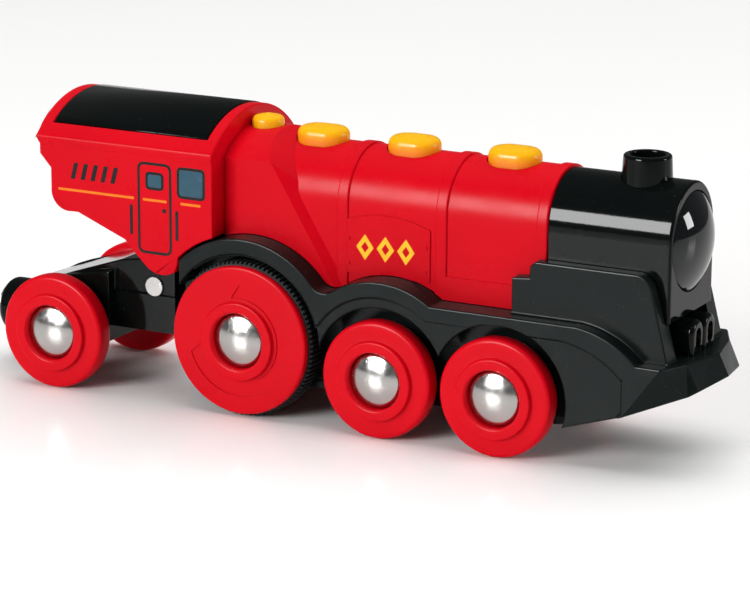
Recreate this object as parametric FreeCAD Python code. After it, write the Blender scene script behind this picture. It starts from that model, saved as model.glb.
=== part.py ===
import FreeCAD, Part
import math
import os

from FreeCAD import Vector

# Toy steam locomotive for a wooden railway. Millimetres, +X towards the chimney end, +Z up.
# Stations along X are counted from the rear axle, heights from the running surface.
# The last step moves everything so that the origin is the bottom centre of the whole.

# ---- driving dimensions -------------------------------------------------------------------
# wheels and axles
SMALL_R = 10.5          # running radius of the small wheels
DRIVE_R = 14.05         # running radius of the drive wheels, over the tyre
DRIVE_DISC_R = 13.45    # red face of a drive wheel
DRIVE_DISC = 1.4        # thickness of that face
TYRE_SEAT_R = 11.6      # drum that the tyre is stretched over
TYRE_WIDTH = 4.3
TYRE_RIBS = 96
TYRE_RIB_DEPTH = 0.35
WHEEL_FACE_Y = 16.15    # outer face of every wheel, from the centre plane
WHEEL_WIDTH = 4.4
WHEEL_EDGE = 1.9        # rounding of the small wheels' running edges
HUB_RING_R = 7.1
HUB_RING_RISE = 0.95
HUB_WELL_R = 5.2        # well in the hub ring that the domed cap sits in
HUB_WELL_DEPTH = 1.15
AXLE_R = 1.5
CAP_R = 4.85
CAP_SIDE = 0.8          # straight side of a cap under its dome
CAP_RISE = 2.1
CAP_SHANK = 1.6         # length of axle inside a cap
AXLE_X = {"rear": 0.0, "middle": 66.6, "front": 89.4}
DRIVE_X = 39.3
SPIN_GAP = 0.05         # radial running clearance of a wheel, gear or pin
SIDE_GAP = 0.25         # running clearance beside a turning or sliding face
SEAT_GAP = 0.03         # radial clearance of an axle held in its frame
SEAM = 0.1              # parting gap between two mouldings

# outer body
HALF_WIDTH = 15.0       # valance and cab side, from the centre plane
NOSE_X = 125.7          # foremost point of the pilot
TAIL_X = -19.8          # rear face of the rear coupling magnet
WALL = 1.5              # wall of every black moulding
SHELL = 1.6             # wall of every red moulding
FRAME_Y = 9.6           # outer face of the inner side frames
FLOOR_Z = 7.0           # underside of the chassis, top of the bottom plate
PLATE_THICK = 1.4
PLATE_FRONT_X = 99.6
SCREW_X = (53.0, 78.0, 96.0)
SCREW_Y = 6.0           # screws of the bottom plate, from the centre plane
FRAME_TAIL_X = 24.5     # rear wall of the inner frame
VALANCE_TAIL_X = 26.4   # rear end of the valance
SPLASHER_R = 18.2       # footplate over the drive wheels, about their axle
HUMP_R = 17.3           # footplate over the middle wheels, about their axle
DECK_Z = 24.8           # flat footplate towards the front
DRIVE_ARCH_R = 15.3
ARCH_R = 12.6
BAND = 2.8              # raised band along the top of the valance
BAND_RISE = 0.4
DIP_FILLET = 3.0
NOSE_DECK_X = 115.0     # where the footplate has come down to the front deck
NOSE_DECK_Z = 19.4      # front deck, level with the top of the pilot
VALANCE_LOW_Z = 6.4     # lowest edge of the valance
PILOT_TOP = [(119.3, 15.0), (121.7, 9.8), (123.8, 0.0)]                     # top edge, as (x, y)
PILOT_FOOT = [(122.6, 10.6, 14.0), (124.0, 9.2, 14.8), (125.7, 0.0, 15.5)]  # lower edge, as (x, y, z)
WELL_FRONT_X = 110.5    # front end of the wheel wells
NOSE_POCKET_X = 121.0   # front end of the hollow under the deck
PILOT_BACK = (112.4, 10.1)                                                  # rear lower corner, as (x, z)

# boiler, firebox, smokebox
BOILER_R = 9.5
BOILER_Z = 39.1         # axis of the boiler
FIREBOX_Y = 10.6
FIREBOX_SHOULDER_Z = 45.7
FIREBOX_TOP_Z = 50.0
FIREBOX_EDGE_X = 42.8   # front edge of the firebox at its shoulder
FIREBOX_RAKE = 0.614    # how far that edge leans forward for each millimetre down
FIREBOX_BEVEL = 2.8     # length of the bevel from the firebox down to the boiler
RING_RISE = 0.35
RING_WIDTH = 2.2
RING_X = (55.6, 74.8, 93.8)
SMOKEBOX_X = (96.0, 118.4)
SMOKEBOX_R = 9.35
SMOKEBOX_FOOT_Z = 25.8
SKIRT_Y = 12.0
CHIMNEY_X = 109.8
CHIMNEY_R = 4.14
CHIMNEY_FOOT_R = 4.4
CHIMNEY_BORE_R = 3.0
CHIMNEY_TOP_Z = 52.3
CHIMNEY_SEAT_Z = 47.2
LENS_R = 8.6
LENS_Z = 38.2
LENS_RISE = 3.0
LENS_WALL = 1.2
LENS_SEAT = 1.6         # depth of the lens's seat in the smokebox front

# front coupling, two barrels side by side
BARREL_X = (115.8, 121.0)
BARREL_Y = 2.6          # their axes, from the centre plane
BARREL_R = 2.4
BARREL_TOP_Z = 25.4
BARREL_EDGE = 0.8       # rounding round their front faces
BARREL_EYE_R = 1.15
BARREL_EYE_Z = (20.3, 24.0)
BARREL_EYE_DEEP = 1.6

# cab
CAB_FRONT_X = 33.4
CAB_ROOF_Z = 53.2
CAB_EAVE_Z = 46.7
CAB_EAVE_Y = 15.2
GUTTER_Z = 45.2
CAB_FLOOR_Z = 26.2      # underside of the cab floor between its side aprons
ROOF_PANEL = (-0.9, 31.1)
ROOF_PANEL_Y = 12.6
ROOF_PANEL_THICK = 0.9
ROOF_PANEL_PROUD = 0.15

# push buttons on top
BUTTON_X = (47.7, 65.8, 85.2)
BUTTON_LONG = 9.6
BUTTON_WIDE = 7.2
BUTTON_RISE = 2.6       # height above the boiler
BUTTON_TRAVEL = 1.2
SMALL_BUTTON_X = 36.4
SMALL_BUTTON_R = 2.9
SMALL_BUTTON_RISE = 2.0
BOARD_RISE = 0.4        # top of the circuit board above the boiler axis, as a share of the radius
BOARD_THICK = 1.0
SWITCH_TALL = 1.4

# gear train, modules in millimetres, all axes along Y
MODULE = 0.5
DRIVE_TEETH = 25
FIRST_TEETH = (26, 10)  # the gear on the drive gear: large wheel, small wheel
SECOND_TEETH = (28, 10)
MOTOR_TEETH = 9
GEAR_WIDTH = 2.0
GEAR_Y = (5.2, 2.7, 0.2)
FIRST_ANGLE = 112.0
SECOND_ANGLE = 108.0
MOTOR_ANGLE = 152.0
GEAR_PIN_R = 1.0
MOTOR_R = 6.6
MOTOR_LONG = 11.0
MOTOR_SHAFT_R = 0.75
BACKLASH = 0.12

# loudspeaker in the back of the cab
SPEAKER_X = 3.4
SPEAKER_Z = 43.0
SPEAKER_R = 7.4

# battery, size AA
BATTERY_R = 7.25
BATTERY_LONG = 50.0
CONTACT_Y = 5.5         # half width of the spring contacts
CONTACT_THICK = 0.4
CONTACT_TOP_Z = 36.5
BATTERY_X = 57.0
BATTERY_Z = 30.0

# rear truck
KING_X = 21.6           # vertical swing axis of the truck
KING_R = 1.2
CROSS_X = 17.1          # horizontal rocking axis of the truck
CROSS_Z = 19.4
CROSS_R = 1.75
BLOCK_Y = 4.0
BLOCK_Z = (15.4, 22.2)
TRUCK_Y = 8.0
GUARD_Y = 10.0
TRUCK_SEAM_Z = 17.8
TRUCK_NOSE_X = 21.4
LUG_Y = 2.4
MAGNET_R = 3.9
MAGNET_LONG = 4.0
MAGNET_Z = 9.8
COUPLER_R = 5.2

# ---- worked out from the above --------------------------------------------------------------
CENTRE_X = (NOSE_X + TAIL_X) / 2
DRIVE_AXIS = (DRIVE_X, DRIVE_R)
MIDDLE_AXIS = (AXLE_X["middle"], SMALL_R)
FRAME_INSIDE_Y = FRAME_Y - WALL
BOSS_Y = FRAME_Y + SIDE_GAP
BOARD_TOP_Z = BOILER_Z + BOARD_RISE * BOILER_R
BOARD_Y = math.sqrt((BOILER_R - SHELL) ** 2 - (BOARD_RISE * BOILER_R) ** 2) - 1.0
SWITCH_TOP_Z = BOARD_TOP_Z + SWITCH_TALL
MOTOR_Y = GEAR_Y[2] - SIDE_GAP - WALL / 2    # mounting face of the motor
CAB_ARCH_FOOT_X = VALANCE_TAIL_X - SEAM
CAB_FOOT_Z = 27.3       # lower edge of the cab above the footplate
FAR = 200.0


# ---- small helpers ---------------------------------------------------------------------------
def put(name, *solids):
    """Write the solids as one named node, in the frame of the whole object."""
    shape = solids[0] if len(solids) == 1 else Part.makeCompound(list(solids))
    shape = shape.copy()
    shape.translate(Vector(-CENTRE_X, 0, 0))
    shape.exportStep("parts/" + name + ".step")


def block(x, y, z):
    """Box between two corners, each argument a pair."""
    size = [max(pair) - min(pair) for pair in (x, y, z)]
    return Part.makeBox(*size, Vector(min(x), min(y), min(z)))


def rod(axis, start, radius, length):
    """Cylinder along X, Y or Z from a point, in the positive direction."""
    direction = {"x": Vector(1, 0, 0), "y": Vector(0, 1, 0), "z": Vector(0, 0, 1)}[axis]
    return Part.makeCylinder(radius, length, Vector(*start), direction)


def across(centre, radius, half=FAR):
    """Cylinder along Y, right across the model, about a point in the XZ plane."""
    return rod("y", (centre[0], -half, centre[1]), radius, 2 * half)


def wire(points, place):
    """Closed wire through the points. A point given as (via, end) is reached by an arc."""
    edges = []
    start = place(points[0])
    for step in list(points[1:]) + [points[0]]:
        if isinstance(step[0], tuple):
            end = place(step[1])
            edges.append(Part.Arc(start, place(step[0]), end).toShape())
        else:
            end = place(step)
            if (end - start).Length > 1e-7:
                edges.append(Part.LineSegment(start, end).toShape())
        start = end
    return Part.Wire(edges)


def side_plate(points, y):
    """Outline in XZ, extruded between two values of Y."""
    outline = wire(points, lambda p: Vector(p[0], min(y), p[1]))
    return Part.Face(outline).extrude(Vector(0, max(y) - min(y), 0))


def section(points, x):
    """Outline in YZ, extruded between two values of X."""
    outline = wire(points, lambda p: Vector(min(x), p[0], p[1]))
    return Part.Face(outline).extrude(Vector(max(x) - min(x), 0, 0))


def plan(points, z):
    """Outline in XY, extruded between two values of Z."""
    outline = wire(points, lambda p: Vector(p[0], p[1], min(z)))
    return Part.Face(outline).extrude(Vector(0, 0, max(z) - min(z)))


def turned(points, centre, side=-1):
    """Profile of (radius, distance from the centre plane), turned about an axis along Y."""
    outline = wire(points, lambda p: Vector(centre[0] + p[0], side * p[1], centre[1]))
    return Part.Face(outline).revolve(Vector(centre[0], 0, centre[1]), Vector(0, 1, 0), 360)


def arch(half, spring_z, radius, low_z):
    """Upside-down U: vertical sides under a half round."""
    return [(-half, low_z), (-half, spring_z), ((0, spring_z + radius), (half, spring_z)), (half, low_z)]


def mirrored(shape):
    return shape.mirror(Vector(0, 0, 0), Vector(0, 1, 0))


def both(shape):
    """A shape on the right side together with its mirror image on the left."""
    return [shape, mirrored(shape)]


def fuse(*shapes):
    """Join shapes into one clean solid."""
    first = shapes[0]
    if len(shapes) > 1:
        first = first.fuse(list(shapes[1:]))
    return first.removeSplitter()


def rounded(shape, radius, wanted):
    """Fillet the edges whose middle point and box satisfy the test."""
    edges = [edge for edge in shape.Edges if wanted(edge, edge.valueAt(edge.FirstParameter / 2
             + edge.LastParameter / 2))]
    return shape.makeFillet(radius, edges) if edges else shape


def along(edge, axis):
    """True for a straight edge that runs along an axis."""
    if edge.Curve.TypeId != "Part::GeomLine":
        return False
    box = edge.BoundBox
    sizes = {"x": box.XLength, "y": box.YLength, "z": box.ZLength}
    return all(size < 1e-6 for name, size in sizes.items() if name != axis)


# ---- gears -----------------------------------------------------------------------------------
def gear_outline(teeth, phase):
    """Points of an involute gear of the common module, with a tooth centred on the phase."""
    pitch_r = MODULE * teeth / 2
    base_r = pitch_r * math.cos(math.radians(20))
    tip_r = pitch_r + 0.95 * MODULE
    root_r = pitch_r - 1.25 * MODULE
    half_at_pitch = math.pi / (2 * teeth) - BACKLASH / (2 * pitch_r)
    roll_at_pitch = math.tan(math.radians(20)) - math.radians(20)
    start_r = max(base_r, root_r)
    flank = []
    for step in range(4):
        radius = start_r + (tip_r - start_r) * step / 3
        angle = math.acos(min(1.0, base_r / radius))
        roll = math.tan(angle) - angle
        flank.append((radius, half_at_pitch + roll_at_pitch - roll))
    flank.insert(0, (root_r, flank[0][1]))
    points = []
    for tooth in range(teeth):
        middle = phase + 2 * math.pi * tooth / teeth
        points += [(radius, middle - half) for radius, half in flank]
        points += [(radius, middle + half) for radius, half in reversed(flank)]
    return points


def gear(teeth, centre, y, phase):
    """Spur gear blank with its teeth cut, solid at the middle."""
    points = gear_outline(teeth, phase)
    flat = [(centre[0] + r * math.cos(a), centre[1] + r * math.sin(a)) for r, a in points]
    return side_plate(flat, (y, y + GEAR_WIDTH))


def meshing_phase(angle, teeth, phase, mate_teeth):
    """Phase of the mating gear, which lies in the direction of the angle from the first."""
    return angle + math.pi + ((angle - phase) * teeth - math.pi) / mate_teeth


def gear_places():
    """Centres and phases of the drive gear, the two idle gears and the motor pinion."""
    first, second, last = (math.radians(a) for a in (FIRST_ANGLE, SECOND_ANGLE, MOTOR_ANGLE))

    def step(centre, angle, teeth_a, teeth_b):
        reach = MODULE * (teeth_a + teeth_b) / 2
        return (centre[0] + reach * math.cos(angle), centre[1] + reach * math.sin(angle))

    one = step(DRIVE_AXIS, first, DRIVE_TEETH, FIRST_TEETH[1])
    two = step(one, second, FIRST_TEETH[0], SECOND_TEETH[1])
    motor = step(two, last, SECOND_TEETH[0], MOTOR_TEETH)
    one_small = meshing_phase(first, DRIVE_TEETH, 0.0, FIRST_TEETH[1])
    two_small = meshing_phase(second, FIRST_TEETH[0], 0.0, SECOND_TEETH[1])
    pinion = meshing_phase(last, SECOND_TEETH[0], 0.0, MOTOR_TEETH)
    return {"one": one, "two": two, "motor": motor, "one_small": one_small,
            "two_small": two_small, "pinion": pinion}


def compound_gear(centre, teeth, y_large, y_small, small_phase):
    """Large and small gear in one piece, bored for its pin."""
    large = gear(teeth[0], centre, y_large, 0.0)
    small = gear(teeth[1], centre, y_small, small_phase)
    low = min(y_large, y_small) + GEAR_WIDTH
    high = max(y_large, y_small)
    hub_r = MODULE * teeth[1] / 2 - 1.25 * MODULE
    hub = rod("y", (centre[0], low - 0.5, centre[1]), hub_r, high - low + 1.0)
    return fuse(large, small, hub).cut(across(centre, GEAR_PIN_R + SPIN_GAP))


def make_gears():
    at = gear_places()
    drive = gear(DRIVE_TEETH, DRIVE_AXIS, GEAR_Y[0], 0.0)
    put("drive_gear", drive.cut(across(DRIVE_AXIS, AXLE_R)))
    put("first_gear", compound_gear(at["one"], FIRST_TEETH, GEAR_Y[1], GEAR_Y[0], at["one_small"]))
    put("second_gear", compound_gear(at["two"], SECOND_TEETH, GEAR_Y[2], GEAR_Y[1], at["two_small"]))
    pinion = gear(MOTOR_TEETH, at["motor"], GEAR_Y[2], at["pinion"])
    put("motor_pinion", pinion.cut(across(at["motor"], MOTOR_SHAFT_R)))

    plate_y = (MOTOR_Y, GEAR_Y[2] - SIDE_GAP)
    far_plate_y = (GEAR_Y[0] + GEAR_WIDTH + SIDE_GAP, FRAME_INSIDE_Y - SEAM)
    motor_y = (MOTOR_Y - MOTOR_LONG, MOTOR_Y)
    shaft_y = (motor_y[1] - MOTOR_LONG / 2, GEAR_Y[2] + GEAR_WIDTH)
    can = rod("y", (at["motor"][0], motor_y[0], at["motor"][1]), MOTOR_R, MOTOR_LONG)
    bearing = rod("y", (at["motor"][0], motor_y[0] - 0.8, at["motor"][1]), 2.0, 0.8)
    shaft_room = rod("y", (at["motor"][0], shaft_y[0], at["motor"][1]), MOTOR_SHAFT_R + SPIN_GAP, FAR)
    put("motor", fuse(can, bearing).cut(shaft_room))
    put("motor_shaft", rod("y", (at["motor"][0], shaft_y[0] + SIDE_GAP, at["motor"][1]), MOTOR_SHAFT_R,
                           shaft_y[1] - shaft_y[0] - SIDE_GAP))

    corners = [at["one"], at["two"], at["motor"]]
    cheeks = []
    for y in (plate_y, far_plate_y):
        pads = [rod("y", (c[0], y[0], c[1]), 3.4, y[1] - y[0]) for c in corners[:2]]
        pads.append(rod("y", (DRIVE_X, y[0], DRIVE_R), 3.4, y[1] - y[0]))
        if y is plate_y:
            pads.append(rod("y", (at["motor"][0], y[0], at["motor"][1]), 5.0, y[1] - y[0]))
        spine = [DRIVE_AXIS] + corners[:2 if y is far_plate_y else 3]
        for a, b in zip(spine, spine[1:]):
            pads.append(bar_between(a, b, 3.4, y))
        cheek = fuse(*pads).cut(across(DRIVE_AXIS, AXLE_R + SPIN_GAP))
        for c in corners[:2]:
            cheek = cheek.cut(across(c, GEAR_PIN_R))
        cheeks.append(cheek.cut(across(at["motor"], MOTOR_SHAFT_R + 0.5)))
    put("gearbox_plates", *cheeks)
    pins = [rod("y", (c[0], plate_y[0], c[1]), GEAR_PIN_R, far_plate_y[1] - plate_y[0]) for c in corners[:2]]
    put("gear_pins", *pins)


def bar_between(a, b, half, y):
    """Flat bar in XZ from one point to another."""
    length = math.hypot(b[0] - a[0], b[1] - a[1])
    along_x, along_z = (b[0] - a[0]) / length, (b[1] - a[1]) / length
    side = (-along_z * half, along_x * half)
    return side_plate([(a[0] + side[0], a[1] + side[1]), (b[0] + side[0], b[1] + side[1]),
                       (b[0] - side[0], b[1] - side[1]), (a[0] - side[0], a[1] - side[1])], y)


# ---- wheels ----------------------------------------------------------------------------------
def hub_profile(bore_r):
    """Outer side of a wheel from the hub ring in to the bore, as (radius, distance)."""
    top = WHEEL_FACE_Y + HUB_RING_RISE
    soft = 0.5
    return [(HUB_RING_R, WHEEL_FACE_Y), (HUB_RING_R, top - soft),
            ((HUB_RING_R - 0.3 * soft, top - 0.3 * soft), (HUB_RING_R - soft, top)),
            (HUB_WELL_R + 0.3, top), (HUB_WELL_R, top - 0.3),
            (HUB_WELL_R, WHEEL_FACE_Y - HUB_WELL_DEPTH), (bore_r, WHEEL_FACE_Y - HUB_WELL_DEPTH)]


def small_wheel(axle, side):
    inner = WHEEL_FACE_Y - WHEEL_WIDTH
    bore_r = AXLE_R + SPIN_GAP
    soft = 0.3 * WHEEL_EDGE
    profile = [(bore_r, BOSS_Y + 0.4), (2 * AXLE_R, BOSS_Y + 0.4), (2 * AXLE_R, inner),
               (SMALL_R - WHEEL_EDGE, inner),
               ((SMALL_R - soft, inner + soft), (SMALL_R, inner + WHEEL_EDGE)),
               (SMALL_R, WHEEL_FACE_Y - WHEEL_EDGE),
               ((SMALL_R - soft, WHEEL_FACE_Y - soft), (SMALL_R - WHEEL_EDGE, WHEEL_FACE_Y))]
    return turned(profile + hub_profile(bore_r), (AXLE_X[axle], SMALL_R), side)


def drive_wheel(side):
    groove_y = WHEEL_FACE_Y - DRIVE_DISC
    inner = groove_y - TYRE_WIDTH - SEAM
    profile = [(AXLE_R, BOSS_Y), (2 * AXLE_R, BOSS_Y), (2 * AXLE_R, inner),
               (TYRE_SEAT_R, inner), (TYRE_SEAT_R, groove_y),
               (DRIVE_DISC_R - 0.3, groove_y), (DRIVE_DISC_R, groove_y + 0.3),
               (DRIVE_DISC_R, WHEEL_FACE_Y - 0.5),
               ((DRIVE_DISC_R - 0.15, WHEEL_FACE_Y - 0.15), (DRIVE_DISC_R - 0.5, WHEEL_FACE_Y))]
    wheel = turned(profile + hub_profile(AXLE_R), DRIVE_AXIS, side)
    return wheel.cut(crank_recess(side))


def crank_recess(side):
    """Shallow ring sector sunk in the face of a drive wheel, open over the upper rear."""
    depth = 0.25
    inner_r = HUB_RING_R + 0.5
    outer_r = 10.2
    y = (side * (WHEEL_FACE_Y - depth), side * (WHEEL_FACE_Y + depth))
    ring = across(DRIVE_AXIS, outer_r).cut(across(DRIVE_AXIS, inner_r))
    sector = ring.common(block((-FAR, FAR), y, (-FAR, FAR)))

    def at(radius, degrees):
        turn = math.radians(degrees)
        return (DRIVE_X + radius * math.cos(turn), DRIVE_R + radius * math.sin(turn))

    gap = side_plate([at(6, 103), at(14, 84), at(30, 140), at(14, 206), at(6, 183)], y)
    return sector.cut(gap)


def tyre(side):
    """Rubber tyre with fine ribs across its tread."""
    outer_y = WHEEL_FACE_Y - DRIVE_DISC - SEAM / 2
    inner_y = outer_y - TYRE_WIDTH
    body_r = DRIVE_R - TYRE_RIB_DEPTH
    body = turned([(TYRE_SEAT_R, inner_y), (body_r, inner_y), (body_r, outer_y), (TYRE_SEAT_R, outer_y)],
                  DRIVE_AXIS, side)
    rib_half = math.pi / TYRE_RIBS / 2
    outline = []
    for rib in range(TYRE_RIBS):
        middle = 2 * math.pi * (rib + 0.5) / TYRE_RIBS - math.pi / 2
        for radius, turn in ((body_r - 0.05, -1.3), (DRIVE_R, -0.7), (DRIVE_R, 0.7), (body_r - 0.05, 1.3)):
            angle = middle + turn * rib_half
            outline.append((DRIVE_X + radius * math.cos(angle), DRIVE_R + radius * math.sin(angle)))
    y = (side * inner_y, side * outer_y)
    ribs = side_plate(outline, y).cut(across(DRIVE_AXIS, TYRE_SEAT_R))
    return fuse(body, ribs)


def cap(centre, side):
    """Domed metal cap pressed on the end of an axle."""
    foot = WHEEL_FACE_Y - HUB_WELL_DEPTH + 0.15
    rim = foot + CAP_SIDE
    apex = foot + CAP_RISE
    end = foot + CAP_SHANK
    dome_r = (CAP_R ** 2 + (apex - rim) ** 2) / (2 * (apex - rim))
    mid_r = CAP_R / 2
    mid_y = apex - dome_r + math.sqrt(dome_r ** 2 - mid_r ** 2)
    profile = [(0, end), (AXLE_R, end), (AXLE_R, foot), (CAP_R, foot), (CAP_R, rim),
               ((mid_r, mid_y), (0, apex))]
    return turned(profile, centre, side)


def make_wheels():
    axle_half = WHEEL_FACE_Y - HUB_WELL_DEPTH + 0.15 + CAP_SHANK
    for axle, x in AXLE_X.items():
        put(axle + "_axle", rod("y", (x, -axle_half, SMALL_R), AXLE_R, 2 * axle_half))
        for side, word in ((-1, "right"), (1, "left")):
            put(axle + "_wheel_" + word, small_wheel(axle, side))
        put(axle + "_caps", cap((x, SMALL_R), -1), cap((x, SMALL_R), 1))
    put("drive_axle", rod("y", (DRIVE_X, -axle_half, DRIVE_R), AXLE_R, 2 * axle_half))
    for side, word in ((-1, "right"), (1, "left")):
        put("drive_wheel_" + word, drive_wheel(side))
        put("drive_tyre_" + word, tyre(side))
    put("drive_caps", cap(DRIVE_AXIS, -1), cap(DRIVE_AXIS, 1))


# ---- chassis ---------------------------------------------------------------------------------
def valance_front():
    """Side view of the footplate and valance ahead of the middle wheels."""
    return [(76.0, DECK_Z), (104.0, DECK_Z), ((109.8, 23.1), (NOSE_DECK_X, NOSE_DECK_Z)),
            (PILOT_TOP[0][0], NOSE_DECK_Z), PILOT_BACK, (101.4, VALANCE_LOW_Z + 0.25), (94.0, VALANCE_LOW_Z),
            (94.0, FLOOR_Z), (50.0, FLOOR_Z), (50.0, 20.0)]


def footplate_solid(inset):
    """Everything under the footplate's top line, drawn in by an inset, right across the width."""
    behind = block((VALANCE_TAIL_X + inset, FAR), (-FAR, FAR), (FLOOR_Z, FAR))
    splasher = across(DRIVE_AXIS, SPLASHER_R - inset).common(behind)
    hump = across(MIDDLE_AXIS, HUMP_R - inset).common(behind)
    front = side_plate(valance_front(), (-FAR, FAR))
    front.translate(Vector(-inset, 0, -inset))
    joined = fuse(splasher, hump, front)
    return rounded(joined, DIP_FILLET, lambda edge, at: along(edge, "y") and 50 < at.x < 60 and at.z > 20)


def skirt_outline():
    """Side plate beside the smokebox, standing on the footplate."""
    return [(90.5, DECK_Z - 1), (90.5, 31.1), (93.7, 31.4), (93.8, 33.4), (94.8, 34.3), (112.8, 34.3),
            ((115.2, 33.5), (116.2, 31.8)), (119.4, NOSE_DECK_Z), (NOSE_DECK_X - 4, NOSE_DECK_Z - 2)]


def polyhedron(faces):
    """Closed solid from flat faces given by their corners."""
    sides = []
    for corners in faces:
        loop = [Vector(*corner) for corner in corners]
        sides.append(Part.Face(Part.makePolygon(loop + [loop[0]])))
    return Part.makeSolid(Part.makeShell(sides))


def pilot():
    """Plough-shaped beam at the foot of the front: leaning facets between its top and lower edges."""
    back = [(PILOT_BACK[0], HALF_WIDTH, NOSE_DECK_Z), (PILOT_BACK[0], HALF_WIDTH, PILOT_BACK[1])]
    top = [(x, y, NOSE_DECK_Z) for x, y in PILOT_TOP]
    low = PILOT_FOOT

    def other(*corners):
        return [(x, -y, z) for x, y, z in corners]

    faces = []
    for corners in ((back[0], top[0], back[1]), (top[0], low[0], back[1]), (top[0], top[1], low[0]),
                    (top[1], low[1], low[0]), (top[1], low[2], low[1]), (top[1], top[2], low[2])):
        faces += [corners, other(*corners)]
    faces.append([back[0], *top, *reversed(other(back[0], *top[:2]))])
    faces.append([back[1], low[0], *reversed(other(back[1], low[0]))])
    faces.append([low[0], low[1], *reversed(other(low[0], low[1]))])
    faces.append([low[1], low[2], *other(low[1])])
    faces.append([back[0], back[1], *reversed(other(*back))])
    return polyhedron(faces)


def nose_floor():
    """Wall ahead of the bottom plate and the deck behind the pilot, between the inner frames."""
    wall_x = PLATE_FRONT_X + SEAM
    wall = block((wall_x, wall_x + WALL), (-FRAME_Y, FRAME_Y), (FLOOR_Z, NOSE_DECK_Z))
    deck = block((PLATE_FRONT_X + SEAM, NOSE_DECK_X), (-FRAME_Y, FRAME_Y), (NOSE_DECK_Z - WALL, NOSE_DECK_Z))
    return fuse(wall, deck)


def make_chassis():
    solid = footplate_solid(0.0)
    outer = solid.common(block((-FAR, FAR), (-HALF_WIDTH, HALF_WIDTH), (0, FAR)))
    wells = footplate_solid(WALL).common(block((-FAR, WELL_FRONT_X), (FRAME_Y, HALF_WIDTH - WALL), (0, FAR)))
    wells = fuse(wells, block((FRAME_TAIL_X, WELL_FRONT_X), (FRAME_Y, HALF_WIDTH - WALL), (0, DRIVE_R)))
    arches = fuse(*[across(centre, radius) for centre, radius in (
        (DRIVE_AXIS, DRIVE_ARCH_R), (MIDDLE_AXIS, ARCH_R), ((AXLE_X["front"], SMALL_R), ARCH_R))])
    arches = arches.common(block((-FAR, FAR), (FRAME_Y, FAR), (-FAR, FAR)))
    below = block((VALANCE_TAIL_X - 1, 96.0), (FRAME_Y, FAR), (-FAR, 12.0))
    cutters = fuse(wells, arches, below)
    panel = footplate_solid(BAND).common(block((-FAR, 113.5), (HALF_WIDTH - BAND_RISE, FAR), (-FAR, FAR)))
    body = outer
    for tool in both(cutters) + both(panel):
        body = body.cut(tool)
    tail = block((FRAME_TAIL_X, VALANCE_TAIL_X + 2), (-FRAME_Y, FRAME_Y), (FLOOR_Z, CAB_FLOOR_Z - SEAM))
    skirts = both(side_plate(skirt_outline(), (FRAME_Y - WALL, SKIRT_Y)))
    pocket = block((0, NOSE_POCKET_X), (-FRAME_INSIDE_Y, FRAME_INSIDE_Y), (0, NOSE_DECK_Z - WALL))
    body = fuse(body, tail, pilot().cut(pocket), *skirts)
    inside = block((FRAME_TAIL_X + WALL, NOSE_DECK_X - WALL), (-FRAME_INSIDE_Y, FRAME_INSIDE_Y), (-FAR, FAR))
    body = body.cut(inside)
    lugs = fuse(*[tail_lug(z) for z in lug_heights()])
    bosses = [rod("z", (x, y, FLOOR_Z), 2.4, 9.0) for x, y in screw_places()]
    trays = [battery_cradle(x) for x in (BATTERY_X + 8, BATTERY_X + BATTERY_LONG - 8)]
    body = fuse(body, lugs, nose_floor(), *bosses, *trays)
    for x, y in screw_places():
        body = body.cut(rod("z", (x, y, 0), 1.0, FLOOR_Z + 8.0))
    for axle in ("middle", "front"):
        body = body.cut(across((AXLE_X[axle], SMALL_R), AXLE_R + SEAT_GAP))
    body = body.cut(across(DRIVE_AXIS, AXLE_R + SPIN_GAP))
    body = body.cut(rod("z", (KING_X, 0, 0), KING_R + SEAT_GAP, 40.0))
    body = body.cut(smokebox_outer(SEAM))
    body = body.cut(block((FRAME_TAIL_X - 1, PLATE_FRONT_X + SEAM), (-FRAME_Y - SEAM, FRAME_Y + SEAM),
                          (-FAR, FLOOR_Z)))
    put("chassis", body)


def lug_heights():
    return (BLOCK_Z[0] - SEAM - 1.9, BLOCK_Z[0] - SEAM), (BLOCK_Z[1] + SEAM, BLOCK_Z[1] + SEAM + 1.3)


def tail_lug(z):
    """One of the two ears that hold the truck's king pin."""
    ear = plan([(KING_X, -LUG_Y), (FRAME_TAIL_X + 0.5, -LUG_Y), (FRAME_TAIL_X + 0.5, LUG_Y),
                (KING_X, LUG_Y), ((KING_X - LUG_Y, 0), (KING_X, -LUG_Y))], z)
    return ear


def screw_places():
    return [(x, y) for x in SCREW_X for y in (-SCREW_Y, SCREW_Y)]


def battery_cradle(x):
    """Rib across the inner frame, hollowed to the battery's curve."""
    rib = block((x, x + WALL), (-FRAME_INSIDE_Y - 0.5, FRAME_INSIDE_Y + 0.5), (14.0, 26.0))
    return rib.cut(rod("x", (x - 1, 0, BATTERY_Z), BATTERY_R + SEAM, WALL + 2))


def make_bottom_plate():
    z = (FLOOR_Z - PLATE_THICK, FLOOR_Z - SEAM / 2)
    plate = block((FRAME_TAIL_X, PLATE_FRONT_X), (-FRAME_Y, FRAME_Y), z)
    plate = rounded(plate, 2.0, lambda edge, at: along(edge, "z"))
    for x, y in screw_places():
        plate = plate.cut(rod("z", (x, y, 0), 1.3, FAR)).cut(rod("z", (x, y, 0), 2.3, z[0] + 0.7))
    put("bottom_plate", plate)
    screws = []
    for x, y in screw_places():
        head = rod("z", (x, y, z[0] + 0.05), 2.1, 0.65)
        shank = rod("z", (x, y, z[0] + 0.6), 0.97, 7.5)
        slot = block((x - 1.3, x + 1.3), (y - 0.25, y + 0.25), (0, z[0] + 0.35))
        cross = block((x - 0.25, x + 0.25), (y - 1.3, y + 1.3), (0, z[0] + 0.35))
        screws.append(fuse(head, shank).cut(slot).cut(cross))
    put("bottom_screws", *screws)


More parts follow.
